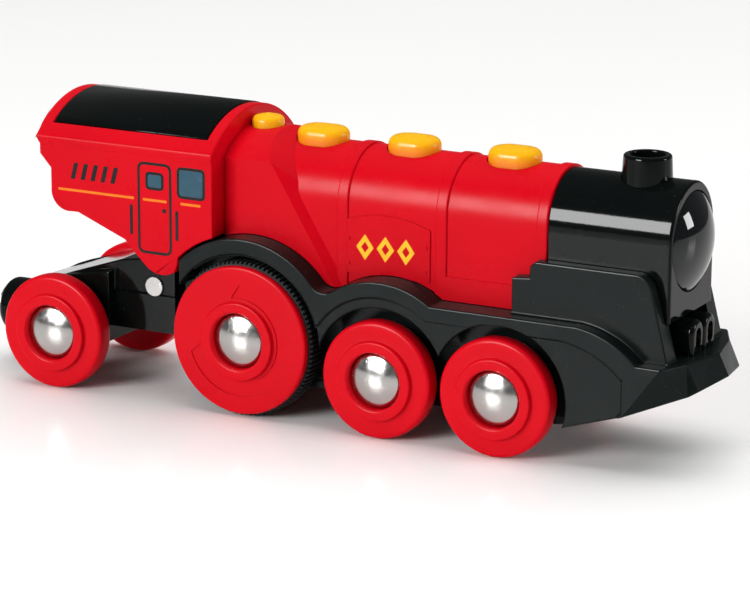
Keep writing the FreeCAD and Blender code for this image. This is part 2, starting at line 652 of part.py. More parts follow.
# ---- boiler and smokebox -----------------------------------------------------------------------
def under_shells(gap):
    """All that lies below the footplate's top line, with a parting gap over it."""
    return footplate_solid(-gap).fuse(block((-FAR, FAR), (-FAR, FAR), (-FAR, DECK_Z - 4)))


def firebox_slant(z):
    return FIREBOX_EDGE_X + FIREBOX_RAKE * (FIREBOX_SHOULDER_Z - z)


def firebox_solid():
    """Box with an arched top, raked front, and a bevel that closes down on the boiler."""
    low = DECK_Z - 3

    def ring(half, shoulder_z, crown_z, shift):
        points = [(-half, low), (-half, shoulder_z), ((0, crown_z), (half, shoulder_z)), (half, low)]
        return wire(points, lambda p: Vector(firebox_slant(p[1]) + shift, p[0], p[1]))

    back_ring = wire([(-FIREBOX_Y, low), (-FIREBOX_Y, FIREBOX_SHOULDER_Z),
                      ((0, FIREBOX_TOP_Z), (FIREBOX_Y, FIREBOX_SHOULDER_Z)), (FIREBOX_Y, low)],
                     lambda p: Vector(CAB_FRONT_X + SEAM, p[0], p[1]))
    slant_ring = ring(FIREBOX_Y, FIREBOX_SHOULDER_Z, FIREBOX_TOP_Z, 0.0)
    inner_r = BOILER_R - 0.15
    shoulder_z = BOILER_Z + 3.0
    half = math.sqrt(inner_r ** 2 - 3.0 ** 2)
    end_ring = ring(half, shoulder_z, BOILER_Z + inner_r, FIREBOX_BEVEL)
    box = Part.makeLoft([back_ring, slant_ring], True, True)
    bevel = Part.makeLoft([slant_ring, end_ring], True, True)
    return box, bevel


def make_boiler():
    low = DECK_Z - 3
    x_end = SMOKEBOX_X[0] - SEAM
    barrel = section(arch(BOILER_R, BOILER_Z, BOILER_R, low), (CAB_FRONT_X + 6, x_end))
    rings = []
    for x in RING_X:
        outline = arch(BOILER_R + RING_RISE, BOILER_Z, BOILER_R + RING_RISE, low)
        ring = section(outline, (x, min(x + RING_WIDTH, x_end)))
        rings.append(rounded(ring, RING_RISE * 0.8, lambda edge, at: edge.BoundBox.XLength < 1e-6
                             and at.z > low + 1))
    box, bevel = firebox_solid()
    shell = fuse(barrel, box, bevel, *rings, *both(number_plate()), *both(lower_strip()))
    shell = shell.cut(under_shells(SEAM))
    inside_r = BOILER_R - SHELL
    shell = shell.cut(section(arch(inside_r, BOILER_Z, inside_r, -FAR), (0, SMOKEBOX_X[0] + 1)))
    room_y = FIREBOX_Y - SHELL
    room = section([(-room_y, -FAR), (-room_y, FIREBOX_SHOULDER_Z - SHELL),
                    ((0, FIREBOX_TOP_Z - SHELL), (room_y, FIREBOX_SHOULDER_Z - SHELL)), (room_y, -FAR)],
                   (CAB_FRONT_X - 1, FIREBOX_EDGE_X - 4))
    shell = shell.cut(room)
    for x in BUTTON_X:
        shell = shell.cut(stadium(x, BUTTON_LONG + 2 * SIDE_GAP, BUTTON_WIDE + 2 * SIDE_GAP,
                                  (BOILER_Z, FAR)))
    shell = shell.cut(rod("z", (SMALL_BUTTON_X, 0, BOILER_Z), SMALL_BUTTON_R + SIDE_GAP, FAR))
    for side in (-1, 1):
        shell = shell.cut(skirt_room(side))
    put("boiler_shell", shell)


def number_plate():
    """Raised panel with an arched top and four rivets, on the right side of the boiler."""
    rise = 0.3
    y = (-BOILER_R - rise, -BOILER_R + 0.5)
    left, right = RING_X[0] + RING_WIDTH / 2, RING_X[1] - 1.0
    plate = side_plate([(left, 27.5), (left, 36.7), (((left + right) / 2, 38.3), (right, 36.7)),
                        (right, 27.5)], y)
    rivets = []
    for x in (left + 1.2, right - 0.8):
        for z in (29.2, 33.6):
            rivets.append(rod("y", (x, y[0] - 0.2, z), 0.35, 0.6))
    return fuse(plate, *rivets)


def lower_strip():
    """Low raised strip along the foot of the boiler, ahead of the middle wheels."""
    return side_plate([(76.2, DECK_Z - 1), (76.2, 28.4), (76.8, 29.0), (90.4, 29.0), (90.4, DECK_Z - 1)],
                      (-BOILER_R - 0.45, -BOILER_R + 0.5))


def skirt_room(side):
    """Space that the skirt plates take out of the shells behind them."""
    y = (side * (FRAME_Y - WALL - SEAM), side * (SKIRT_Y + 1))
    outline = skirt_outline()
    plate = side_plate(outline, y)
    return plate


def smokebox_outer(gap):
    outline = arch(SMOKEBOX_R + gap, BOILER_Z, SMOKEBOX_R + gap, SMOKEBOX_FOOT_Z - gap)
    return section(outline, (SMOKEBOX_X[0] - gap, SMOKEBOX_X[1] + gap))


def make_smokebox():
    shell = rounded(smokebox_outer(0.0), 0.5, lambda edge, at: abs(at.x - SMOKEBOX_X[1]) < 1e-6
                    and at.z > SMOKEBOX_FOOT_Z + 0.1)
    inside_r = SMOKEBOX_R - WALL
    room = section(arch(inside_r, BOILER_Z, inside_r, -FAR), (0, SMOKEBOX_X[1] - LENS_SEAT - 1.0))
    boss = rod("z", (CHIMNEY_X, 0, BOILER_Z + 5), CHIMNEY_FOOT_R + WALL, FAR)
    shell = shell.cut(room.cut(boss))
    seat = rod("x", (SMOKEBOX_X[1] - LENS_SEAT, 0, LENS_Z), LENS_R + SEAM, 10)
    window = rod("x", (SMOKEBOX_X[1] - 6, 0, LENS_Z), LENS_R - 1.4, 10)
    pocket = rod("z", (CHIMNEY_X, 0, CHIMNEY_SEAT_Z), CHIMNEY_FOOT_R + SEAM, 10)
    put("smokebox", shell.cut(seat).cut(window).cut(pocket))

    seat_x = SMOKEBOX_X[1] - LENS_SEAT
    rim_x = SMOKEBOX_X[1] - 0.1
    put("headlight_lens", dome_x(seat_x, rim_x, LENS_R, LENS_RISE, LENS_WALL))
    dish = Part.makeCone(2.4, LENS_R - 1.8, 5.0, Vector(seat_x - 5.2, 0, LENS_Z), Vector(1, 0, 0))
    hollow = Part.makeCone(1.7, LENS_R - 2.4, 5.0, Vector(seat_x - 5.2, 0, LENS_Z), Vector(1, 0, 0))
    put("headlight_reflector", dish.cut(hollow))
    stem = rod("x", (seat_x - 8.0, 0, LENS_Z), 1.5, 3.8)
    bead = Part.makeSphere(1.5, Vector(seat_x - 4.2, 0, LENS_Z))
    put("headlight_led", fuse(stem, bead, rod("x", (seat_x - 8.8, 0, LENS_Z), 2.0, 1.0)))

    foot_z = CHIMNEY_SEAT_Z + SEAM / 2
    lip = 0.6
    pipe = wire([(CHIMNEY_BORE_R, foot_z), (CHIMNEY_FOOT_R, foot_z), (CHIMNEY_R, CHIMNEY_TOP_Z - lip),
                 ((CHIMNEY_R - 0.3 * lip, CHIMNEY_TOP_Z - 0.3 * lip), (CHIMNEY_R - lip, CHIMNEY_TOP_Z)),
                 (CHIMNEY_BORE_R, CHIMNEY_TOP_Z)],
                lambda p: Vector(CHIMNEY_X + p[0], 0, p[1]))
    put("chimney", Part.Face(pipe).revolve(Vector(CHIMNEY_X, 0, 0), Vector(0, 0, 1), 360))


def dome_x(seat_x, rim_x, radius, rise, wall):
    """Hollow clear dome facing forward, with a flat rim."""
    def profile(r, foot, apex):
        ball = (r ** 2 + (apex - rim_x) ** 2) / (2 * (apex - rim_x))
        mid = (apex - ball + math.sqrt(ball ** 2 - (r / 2) ** 2), r / 2)
        outline = wire([(foot, 0), (foot, r), (rim_x, r), (mid, (apex, 0))],
                       lambda p: Vector(p[0], p[1], LENS_Z))
        return Part.Face(outline).revolve(Vector(0, 0, LENS_Z), Vector(1, 0, 0), 360)
    return profile(radius, seat_x, rim_x + rise).cut(profile(radius - wall, seat_x - 1, rim_x + rise - wall))


# ---- cab ---------------------------------------------------------------------------------------
def cab_outline():
    """Side view of the cab, rear overhang, tucked rear wall and raked apron."""
    return [(-3.2, CAB_ROOF_Z + 2), (-3.2, CAB_EAVE_Z - 0.2), (-2.6, GUTTER_Z), (-2.6, 43.4), (-0.3, 40.9),
            (-0.3, 36.6), ((0.9, 34.2), (4.0, 33.3)), (5.4, 33.3), (15.2, 29.4), (17.5, 27.0),
            (19.4, 25.2), ((22.6, 23.75), (25.6, 24.6)), ((26.1, 25.9), (CAB_ARCH_FOOT_X, CAB_FOOT_Z)),
            (CAB_FRONT_X, CAB_FOOT_Z), (CAB_FRONT_X, CAB_ROOF_Z + 2)]


def roof_radius():
    rise = CAB_ROOF_Z - CAB_EAVE_Z
    return (CAB_EAVE_Y ** 2 + rise ** 2) / (2 * rise)


def cab_section(inset):
    """End view of the cab: upright sides, a small gutter step and a round roof."""
    half = HALF_WIDTH - inset
    eave = CAB_EAVE_Y - inset
    top = CAB_ROOF_Z - inset
    return [(-half, 0), (-half, GUTTER_Z - inset),
            (-eave, GUTTER_Z + 0.5 - inset), (-eave, CAB_EAVE_Z - inset),
            ((0, top), (eave, CAB_EAVE_Z - inset)), (eave, GUTTER_Z + 0.5 - inset), (half, GUTTER_Z - inset),
            (half, 0)]


def make_cab():
    outer = side_plate(cab_outline(), (-FAR, FAR)).common(section(cab_section(0.0), (-10, CAB_FRONT_X)))
    outer = outer.cut(across(DRIVE_AXIS, SPLASHER_R + 0.4).cut(
        block((-FAR, CAB_ARCH_FOOT_X), (-FAR, FAR), (-FAR, FAR))))
    inner_side = offset_outline(cab_outline(), SHELL).common(section(cab_section(SHELL), (-10, FAR)))
    inner = inner_side.common(block((-FAR, CAB_FRONT_X - SHELL), (-FAR, FAR), (CAB_FLOOR_Z + 1.2, FAR)))
    under = block((5.0, CAB_FRONT_X + 1), (-HALF_WIDTH + SHELL, HALF_WIDTH - SHELL), (-FAR, CAB_FLOOR_Z))
    hatch = block((FRAME_TAIL_X, CAB_FRONT_X + 1), (-FRAME_INSIDE_Y, FRAME_INSIDE_Y), (-FAR, 40.0))
    splash_room = footplate_solid(-SEAM)
    motor = gear_places()["motor"]
    motor_room = rod("y", (motor[0], MOTOR_Y - MOTOR_LONG - 1.0, motor[1]), MOTOR_R + SEAM, MOTOR_LONG + 2.0)
    shell = outer.cut(inner).cut(under).cut(hatch).cut(splash_room).cut(motor_room)
    radius = roof_radius()
    axis_z = CAB_ROOF_Z - radius
    pocket = roof_slab(radius - ROOF_PANEL_THICK, radius + 5, axis_z, SEAM)
    put("cab_shell", shell.cut(pocket))
    put("roof_panel", roof_slab(radius - ROOF_PANEL_THICK + SEAM / 2, radius + ROOF_PANEL_PROUD, axis_z, 0.0))


def offset_outline(points, inset):
    """The outline drawn in by an inset, extruded right across."""
    face = Part.Face(wire(points, lambda p: Vector(p[0], -FAR, p[1])))
    return face.makeOffset2D(-inset, 2).extrude(Vector(0, 2 * FAR, 0))


def roof_slab(inner_r, outer_r, axis_z, gap):
    """Curved sheet on the cab roof, between two radii about the roof's axis."""
    x = (ROOF_PANEL[0] - gap, ROOF_PANEL[1] + gap)
    start = (x[0], 0, axis_z)
    ring = rod("x", start, outer_r, x[1] - x[0]).cut(rod("x", start, inner_r, x[1] - x[0]))
    y = ROOF_PANEL_Y + gap
    slab = ring.common(block(x, (-y, y), (axis_z, FAR)))
    return slab


# ---- buttons and electrics ---------------------------------------------------------------------
def stadium(x, long, wide, z):
    """Oval with straight sides, upright."""
    half = (long - wide) / 2
    r = wide / 2
    outline = [(x - half, -r), (x + half, -r), ((x + half + r, 0), (x + half, r)), (x - half, r),
               ((x - half - r, 0), (x - half, -r))]
    return plan(outline, z)


def make_buttons():
    stem_low = SWITCH_TOP_Z + BUTTON_TRAVEL + 0.2
    ear_z = (stem_low, stem_low + 0.7)
    for number, x in enumerate(BUTTON_X, start=1):
        top_z = BOILER_Z + BOILER_R + BUTTON_RISE
        knob = stadium(x, BUTTON_LONG, BUTTON_WIDE, (stem_low, top_z))
        knob = rounded(knob, 1.3, lambda edge, at: abs(at.z - top_z) < 1e-6)
        ears = block((x - BUTTON_LONG / 2 - 1.2, x + BUTTON_LONG / 2 + 1.2), (-2.0, 2.0), ear_z)
        inside_r = BOILER_R - SHELL - SIDE_GAP
        trim = section(arch(inside_r, BOILER_Z, inside_r, 0), (x - 20, x + 20))
        waist = knob.common(trim)
        crown = knob.common(block((x - 20, x + 20), (-20, 20), (BOILER_Z + BOILER_R - 2.2, FAR)))
        put("push_button_%d" % number, fuse(waist, crown, ears))
    top_z = FIREBOX_TOP_Z + SMALL_BUTTON_RISE
    knob = rod("z", (SMALL_BUTTON_X, 0, stem_low), SMALL_BUTTON_R, top_z - stem_low)
    knob = rounded(knob, 1.0, lambda edge, at: abs(at.z - top_z) < 1e-6)
    flange_z = FIREBOX_TOP_Z - SHELL - 1.6
    flange = rod("z", (SMALL_BUTTON_X, 0, flange_z), SMALL_BUTTON_R + 0.9, 0.7)
    flange = flange.common(block((SMALL_BUTTON_X - 2.2, SMALL_BUTTON_X + 2.2), (-FAR, FAR), (0, FAR)))
    put("start_button", fuse(knob, flange))


def make_electrics():
    places = [SMALL_BUTTON_X] + list(BUTTON_X)
    low = BOARD_TOP_Z - BOARD_THICK
    board = block((CAB_FRONT_X + 0.2, 92.5), (-BOARD_Y, BOARD_Y), (low, BOARD_TOP_Z))
    put("circuit_board", board)
    switches = []
    for x in places:
        body = block((x - 2.2, x + 2.2), (-2.2, 2.2), (BOARD_TOP_Z, SWITCH_TOP_Z - 0.4))
        switches.append(fuse(body, rod("z", (x, 0, SWITCH_TOP_Z - 0.5), 1.2, 0.5)))
    put("button_switches", *switches)
    can = rod("x", (BATTERY_X, 0, BATTERY_Z), BATTERY_R, BATTERY_LONG - 1.0)
    nub = rod("x", (BATTERY_X, 0, BATTERY_Z), 2.7, BATTERY_LONG)
    put("battery", fuse(can, nub))
    rear_x = BATTERY_X - 3.0
    face_x = rear_x + CONTACT_THICK
    rear = side_plate([(rear_x, 22.5), (rear_x, CONTACT_TOP_Z), (face_x, CONTACT_TOP_Z), (face_x, 31.2),
                       (rear_x + 2.9, 30.2), (rear_x + 2.9, 29.8), (face_x, 28.8),
                       (face_x, 22.5)], (-CONTACT_Y, CONTACT_Y))
    front_x = BATTERY_X + BATTERY_LONG + 0.1
    front = block((front_x, front_x + CONTACT_THICK), (-CONTACT_Y, CONTACT_Y), (24.5, CONTACT_TOP_Z))
    put("battery_contacts", rear, front)
    frame = Part.makeCone(SPEAKER_R, 5.5, 2.2, Vector(SPEAKER_X, 0, SPEAKER_Z), Vector(1, 0, 0))
    magnet = rod("x", (SPEAKER_X + 2.0, 0, SPEAKER_Z), 4.2, 2.2)
    put("speaker", fuse(frame, magnet))


# ---- front coupling and rear truck -------------------------------------------------------------
def make_front_coupling():
    """Pair of upright barrels on the front deck, each with a tall slot and a contact in it."""
    base_z = NOSE_DECK_Z + SEAM / 2
    eye_low, eye_high = BARREL_EYE_Z
    mouth_x = BARREL_X[1] - BARREL_EYE_DEEP
    barrels = []
    inserts = []
    for y in (-BARREL_Y, BARREL_Y):
        shoulder = BARREL_TOP_Z - BARREL_R
        outline = [(y - BARREL_R, base_z), (y - BARREL_R, shoulder),
                   ((y, BARREL_TOP_Z), (y + BARREL_R, shoulder)), (y + BARREL_R, base_z)]
        barrel = section(outline, BARREL_X)
        barrel = rounded(barrel, BARREL_EDGE,
                         lambda edge, at: abs(at.x - BARREL_X[1]) < 1e-6 and at.z > base_z + 0.1)
        eye = section([(y - BARREL_EYE_R, eye_low + BARREL_EYE_R),
                       (y - BARREL_EYE_R, eye_high - BARREL_EYE_R),
                       ((y, eye_high), (y + BARREL_EYE_R, eye_high - BARREL_EYE_R)),
                       (y + BARREL_EYE_R, eye_low + BARREL_EYE_R),
                       ((y, eye_low), (y - BARREL_EYE_R, eye_low + BARREL_EYE_R))],
                      (mouth_x, BARREL_X[1] + 1))
        barrels.append(barrel.cut(eye))
        inserts.append(rod("x", (mouth_x, y, (eye_low + eye_high) / 2), 0.8 * BARREL_EYE_R, 1.0))
    bridge = block((BARREL_X[0], mouth_x), (-BARREL_Y, BARREL_Y), (base_z, eye_high))
    put("front_coupling", fuse(bridge, *barrels))
    put("coupling_pins", *inserts)


def truck_top():
    """Upper line of the rear truck in side view, from the coupling to its front end."""
    return [(-13.0, 15.6), (-7.5, 17.6), (-1.2, 19.8), (10.2, 23.7), (14.2, 24.3), (TRUCK_NOSE_X, 24.4)]


def make_truck():
    top = truck_top()
    outline = top + [(TRUCK_NOSE_X, TRUCK_SEAM_Z), (8.5, TRUCK_SEAM_Z), (8.5, 8.4), (6.0, 7.4), (-9.0, 7.4),
                     (-13.0, 7.4)]
    body = side_plate(outline, (-TRUCK_Y, TRUCK_Y))
    plan_shape = plan([(TRUCK_NOSE_X, -TRUCK_Y), (TRUCK_NOSE_X, TRUCK_Y), (-6.5, TRUCK_Y),
                       (-14.0, COUPLER_R), (-14.0, -COUPLER_R), (-6.5, -TRUCK_Y)], (0, 40))
    body = body.common(plan_shape)
    guard = side_plate([(-8.5, 8.4), (-8.5, 17.2), (-1.2, 19.8), (8.5, 21.6), (8.5, 8.4), (6.0, 7.4),
                        (-6.5, 7.4)], (-GUARD_Y, -TRUCK_Y + 1))
    housing = coupler_housing()
    body = fuse(body, housing, *both(guard))
    room = side_plate([(9.8, 0), (9.8, 22.2), (14.2, 22.9), (FAR, 22.9), (FAR, 0)], (-6.2, 6.2))
    lug_slot = block((KING_X - LUG_Y - 1.2, FAR), (-4.4, 4.4), (0, 40))
    hollow = side_plate([(-8.0, 0), (-8.0, 14.0), (-1.0, 17.5), (7.2, 20.3), (7.2, 0)], (-6.2, 6.2))
    axle_bar = block((-2.8, 2.8), (-TRUCK_Y, TRUCK_Y), (7.4, 14.0))
    body = fuse(body.cut(room).cut(hollow).cut(lug_slot), axle_bar)
    body = body.cut(across((0.0, SMALL_R), AXLE_R + SEAT_GAP)).cut(across((CROSS_X, CROSS_Z), CROSS_R))
    cup_x = TAIL_X + 0.3
    body = body.cut(rod("x", (cup_x - 5, 0, MAGNET_Z), MAGNET_R + SEAM / 2, 5 + MAGNET_LONG + 0.3))
    put("rear_truck", body)
    put("rear_magnet", rod("x", (TAIL_X, 0, MAGNET_Z), MAGNET_R, MAGNET_LONG))

    z = (10.9, TRUCK_SEAM_Z - SEAM)
    base = block((8.5 + SEAM, TRUCK_NOSE_X), (-TRUCK_Y, TRUCK_Y), z)
    base = base.cut(block((9.8, FAR), (-6.2, 6.2), (z[0] + 1.2, 40)))
    base = base.cut(across((CROSS_X, CROSS_Z), CROSS_R + SEAM))
    put("truck_base", base.cut(lug_slot.common(block((-FAR, FAR), (-FAR, FAR), (z[0] + 1.2, FAR)))))

    swivel = block((CROSS_X - 2.9, KING_X + 2.0), (-BLOCK_Y, BLOCK_Y), BLOCK_Z)
    swivel = swivel.cut(across((CROSS_X, CROSS_Z), CROSS_R + SPIN_GAP))
    swivel = swivel.cut(rod("z", (KING_X, 0, 0), KING_R + SPIN_GAP, 40))
    swivel = rounded(swivel, 1.8, lambda edge, at: along(edge, "z") and at.x > KING_X)
    put("swivel_block", swivel)
    put("cross_pin", rod("y", (CROSS_X, -TRUCK_Y - 0.25, CROSS_Z), CROSS_R, 2 * TRUCK_Y + 0.5))
    lugs = lug_heights()
    pin = rod("z", (KING_X, 0, lugs[0][0] - 0.3), KING_R, lugs[1][1] - lugs[0][0] + 0.3)
    head = rod("z", (KING_X, 0, lugs[1][1] + 0.02), KING_R + 0.8, 0.6)
    put("king_pin", fuse(pin, head, rod("z", (KING_X, 0, lugs[1][1] - 0.2), KING_R, 0.4)))


def coupler_housing():
    """Round-nosed housing about the rear magnet."""
    x = (TAIL_X + 0.3, -8.0)
    barrel = rod("x", (x[0], 0, MAGNET_Z), COUPLER_R, x[1] - x[0])
    return rounded(barrel, 1.6, lambda edge, at: abs(at.x - x[0]) < 1e-6)


os.makedirs("parts", exist_ok=True)
make_wheels()
make_gears()
make_chassis()
make_bottom_plate()
make_boiler()
make_smokebox()
make_cab()
make_buttons()
make_electrics()
make_front_coupling()
make_truck()
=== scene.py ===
"""Toy train locomotive: finishes, turned parts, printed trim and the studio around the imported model."""

import math

import bmesh
import bpy
from bpy.props import FloatProperty, FloatVectorProperty, IntProperty, PointerProperty
from bpy.types import Operator, Panel, PropertyGroup
from mathutils import Matrix, Vector


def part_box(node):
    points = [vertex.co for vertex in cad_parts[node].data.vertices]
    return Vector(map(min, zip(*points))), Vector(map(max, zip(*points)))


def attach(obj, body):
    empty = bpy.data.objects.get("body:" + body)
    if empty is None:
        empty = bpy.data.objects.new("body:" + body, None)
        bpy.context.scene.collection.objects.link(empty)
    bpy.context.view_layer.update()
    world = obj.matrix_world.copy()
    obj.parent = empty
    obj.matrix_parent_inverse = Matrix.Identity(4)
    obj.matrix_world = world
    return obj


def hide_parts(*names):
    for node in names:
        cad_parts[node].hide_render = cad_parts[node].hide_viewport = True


bl_info = {
    "name": "Toy Train Locomotive",
    "version": (1, 0, 0),
    "blender": (4, 5, 0),
    "location": "View3D > Sidebar > Toy Train",
    "description": "Builds the finished looks of a battery toy locomotive around its packed model",
    "category": "Object",
}

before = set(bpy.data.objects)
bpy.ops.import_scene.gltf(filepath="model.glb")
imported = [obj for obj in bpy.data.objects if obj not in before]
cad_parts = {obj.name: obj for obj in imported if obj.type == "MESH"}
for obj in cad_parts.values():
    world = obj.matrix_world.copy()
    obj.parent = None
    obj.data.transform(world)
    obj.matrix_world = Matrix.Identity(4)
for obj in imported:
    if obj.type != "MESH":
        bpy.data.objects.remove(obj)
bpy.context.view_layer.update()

MM = 0.001
SAME_POINT = 0.001 * MM
UP = Vector((0, 0, 1))
ACROSS = Vector((0, 1, 0))
AHEAD = Vector((1, 0, 0))
SMALL_TURNS = 96            # facets round the smaller turned pieces
AXLES = ("rear", "middle", "front")
SIDES = (("right", -1), ("left", 1))


# ---- where things are --------------------------------------------------------------------------
def middle(node):
    """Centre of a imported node's box."""
    low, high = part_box(node)
    return (low + high) / 2


REAR_AXLE = middle("rear_axle")


def station(x, y, z):
    """A point counted from the rear axle, the centre plane and the floor, in millimetres."""
    return Vector((REAR_AXLE.x + x * MM, y * MM, z * MM))


# ---- settings ----------------------------------------------------------------------------------
def length(name, text, value):
    return FloatProperty(name=name, description=text, default=value * MM, unit="LENGTH", precision=5)


def colour(name, text, value):
    return FloatVectorProperty(name=name, description=text, default=value, subtype="COLOR",
                               size=3, min=0, max=1)


class TrainSizes(PropertyGroup):
    turns: IntProperty(name="Turned facets", description="Facets round a wheel", default=128, min=32)
    print_rise: length("Print rise", "How far the printed trim stands off the plastic", 0.03)
    print_line: length("Print line", "Width of the black outlines on the cab side", 0.5)
    rim_soft: length("Rim rounding", "Rounding of the small wheels' running edges", 1.9)
    edge_soft: length("Edge rounding", "Fine rounding on the edges of the packed mouldings", 0.28)
    ring_soft: length("Ring rounding", "Rounding of the hub rings", 0.5)
    rib_count: IntProperty(name="Tyre ribs", description="Ribs round a drive tyre", default=96, min=24)
    rib_depth: length("Rib depth", "Depth of the grooves between the ribs", 0.40)
    button_soft: length("Button rounding", "Rounding of the push buttons' top edges", 1.5)


class TrainColours(PropertyGroup):
    red: colour("Body red", "Glossy red of the cab, boiler and wheels", (0.60, 0.0012, 0.009))
    black: colour("Gloss black", "Black of the smokebox, roof and truck", (0.0028, 0.0040, 0.0038))
    satin: colour("Satin black", "Black of the footplate and valances", (0.0055, 0.0085, 0.0080))
    yellow: colour("Button yellow", "Yellow of the push buttons", (0.86, 0.44, 0.004))
    # This amber is the painted shade at the foot of the push buttons, and also the real ink of the
    # printed cab stripes.
    amber_foot_shade_and_stripes: colour("Amber", "Deeper yellow at the foot of the buttons and in the stripes",
                  (0.86, 0.20, 0.010))
    rubber: colour("Tyre rubber", "Black rubber of the drive tyres", (0.012, 0.015, 0.016))
    steel: colour("Bright steel", "Polished steel of caps and pins", (0.46, 0.45, 0.435))
    brass: colour("Brass", "Brass of the inserts and contacts", (0.62, 0.42, 0.14))
    window: colour("Window print", "Slate blue of the printed windows", (0.028, 0.085, 0.125))
    lamp: colour("Lamp dome", "Smoky clear plastic of the headlight dome", (0.0035, 0.0045, 0.0050))
    floor: colour("Floor", "Studio floor", (0.93, 0.925, 0.92))


def sizes():
    return bpy.context.scene.train_sizes


def colours():
    return bpy.context.scene.train_colours


# ---- shader writing ----------------------------------------------------------------------------
class Value:
    """A shader socket that ordinary sums can be written with."""

    def __init__(self, shade, socket):
        self.shade = shade
        self.socket = socket

    def with_value(self, operation, other):
        return self.shade.add("ShaderNodeMath", {"operation": operation},
                              {"Value": self, "Value_001": other})

    def __add__(self, other):
        return self.with_value("ADD", other)

    def __mul__(self, other):
        return self.with_value("MULTIPLY", other)


class Shade:
    """One material being written, with a Principled shader at its end."""

    def __init__(self, name):
        self.material = bpy.data.materials.new(name)
        self.material.use_nodes = True
        self.tree = self.material.node_tree
        self.tree.nodes.clear()
        self.surface = self.tree.nodes.new("ShaderNodeBsdfPrincipled")
        end = self.tree.nodes.new("ShaderNodeOutputMaterial")
        self.tree.links.new(self.surface.outputs["BSDF"], end.inputs["Surface"])

    def add(self, kind, settings=None, inputs=None, output=0):
        """A node of a kind, with its settings first and then the values or links of its sockets."""
        node = self.tree.nodes.new(kind)
        for key, value in (settings or {}).items():
            setattr(node, key, value)
        for key, value in (inputs or {}).items():
            self.feed(node, key, value)
        if isinstance(output, str):
            output = [socket.identifier for socket in node.outputs].index(output)
        return Value(self, node.outputs[output])

    def feed(self, node, key, value):
        socket = next(s for s in node.inputs if key in (s.identifier, s.name))
        if isinstance(value, Value):
            self.tree.links.new(value.socket, socket)
        elif isinstance(value, (tuple, list)) and len(value) == 3 and socket.type == "RGBA":
            socket.default_value = (*value, 1.0)
        else:
            socket.default_value = value

    def place(self):
        """Object coordinates, which are metres in the locomotive's frame."""
        return self.add("ShaderNodeTexCoord", output="Object")

    def noise(self, scale, detail=3.0, rough=0.5, at=None):
        return self.add("ShaderNodeTexNoise", {"noise_dimensions": "3D"}, {
            "Vector": at or self.place(), "Scale": scale, "Detail": detail, "Roughness": rough})

    def ramp(self, value, low, high, start=0.0, end=1.0):
        return self.add("ShaderNodeMapRange", {"clamp": True}, {
            "Value": value, "From Min": low, "From Max": high, "To Min": start, "To Max": end})

    def mix(self, factor, first, second):
        return self.add("ShaderNodeMix", {"data_type": "RGBA"}, {
            "Factor_Float": factor, "A_Color": first, "B_Color": second}, output="Result_Color")

    def stretched(self, scale):
        """Object coordinates, scaled apart along the three axes."""
        return self.add("ShaderNodeMapping", inputs={"Vector": self.place(), "Scale": scale})

    def along(self, axis):
        """One object coordinate, in metres; Z is the height above the floor."""
        return self.add("ShaderNodeSeparateXYZ", inputs={"Vector": self.place()}, output=axis)

    def bump(self, height, depth, strength=1.0, under=None):
        inputs = {"Height": height, "Distance": depth, "Strength": strength}
        if under:
            inputs["Normal"] = under
        return self.add("ShaderNodeBump", inputs=inputs)

    def finish(self, **inputs):
        """Feed the shader's own sockets, named with underscores for spaces."""
        for key, value in inputs.items():
            self.feed(self.surface, key.replace("_", " "), value)
        return self.material


def tint(value, factor):
    return tuple(min(1.0, part * factor) for part in value)


# ---- finishes ----------------------------------------------------------------------------------
DUST = (0.8, 0.8, 0.8)
NICKEL = (0.46, 0.45, 0.43)
MIRROR = (0.86, 0.86, 0.86)
EPOXY = (0.75, 0.72, 0.58)
ACETAL = (0.72, 0.70, 0.62)
SOLDER_MASK = (0.01, 0.12, 0.04)
COPPER_TRACK = (0.03, 0.22, 0.07)
SLEEVE_DARK = (0.015, 0.03, 0.028)
SLEEVE_BAND = (0.55, 0.36, 0.12)
SLEEVE_WORN = (0.3, 0.3, 0.3)
INK_BLACK = (0.006, 0.006, 0.007)
INK_YELLOW = (1.0, 0.52, 0.02)


def moulded(name, base, rough, shine, peel=1.0, scuffs=0.06):
    """Injection-moulded plastic: faint flow marks, orange peel, dust and hairline scuffs."""
    s = Shade(name)
    flow = s.noise(55.0, 2.0)
    dust = s.ramp(s.noise(2600.0, 2.0), 0.70, 0.78)
    hair = s.ramp(s.noise(1.0, 3.0, 0.6, s.stretched((260.0, 2200.0, 1500.0))), 0.66, 0.74)
    shaded = s.mix(s.ramp(flow, 0.3, 0.7), tint(base, 0.94), tint(base, 1.05))
    dusted = s.mix(dust * 0.05, shaded, DUST)
    polish = s.ramp(s.noise(140.0, 4.0), 0.3, 0.7, rough * 0.85, rough * 1.15)
    roughness = polish + hair * scuffs + dust * 0.12
    skin = s.bump(s.noise(700.0, 2.0), 0.000012 * peel, 0.6)
    skin = s.bump(hair, 0.000004, 0.4, skin)
    return s.finish(Base_Color=dusted, Roughness=roughness, Normal=skin, Specular_IOR_Level=shine)


def button_plastic():
    """Yellow plastic with painted shade: the colour deepens to amber towards the foot of the button,
    standing in for light dying inside it.
    """
    s = Shade("button_yellow")
    c = colours()
    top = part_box("push_button_2")[1].z
    # Painted shade: the lowest part of the button is coloured amber instead of yellow, as a ramp on the
    # height.
    painted_foot_shade = s.ramp(s.along("Z"), top - 2.9 * MM, top - 1.1 * MM)
    cloud = s.ramp(s.noise(160.0, 2.0), 0.3, 0.7, 0.0, 0.12)
    base = s.mix(painted_foot_shade, tuple(c.amber_foot_shade_and_stripes), tuple(c.yellow))
    base = s.mix(cloud, base, tint(tuple(c.yellow), 0.9))
    skin = s.bump(s.noise(800.0, 2.0), 0.00001, 0.5)
    rough = s.ramp(s.noise(220.0, 3.0), 0.3, 0.7, 0.24, 0.34)
    return s.finish(Base_Color=base, Roughness=rough, Normal=skin, Specular_IOR_Level=0.2,
                    Subsurface_Weight=0.25, Subsurface_Radius=(1.0, 0.5, 0.1),
                    Subsurface_Scale=1.5 * MM)


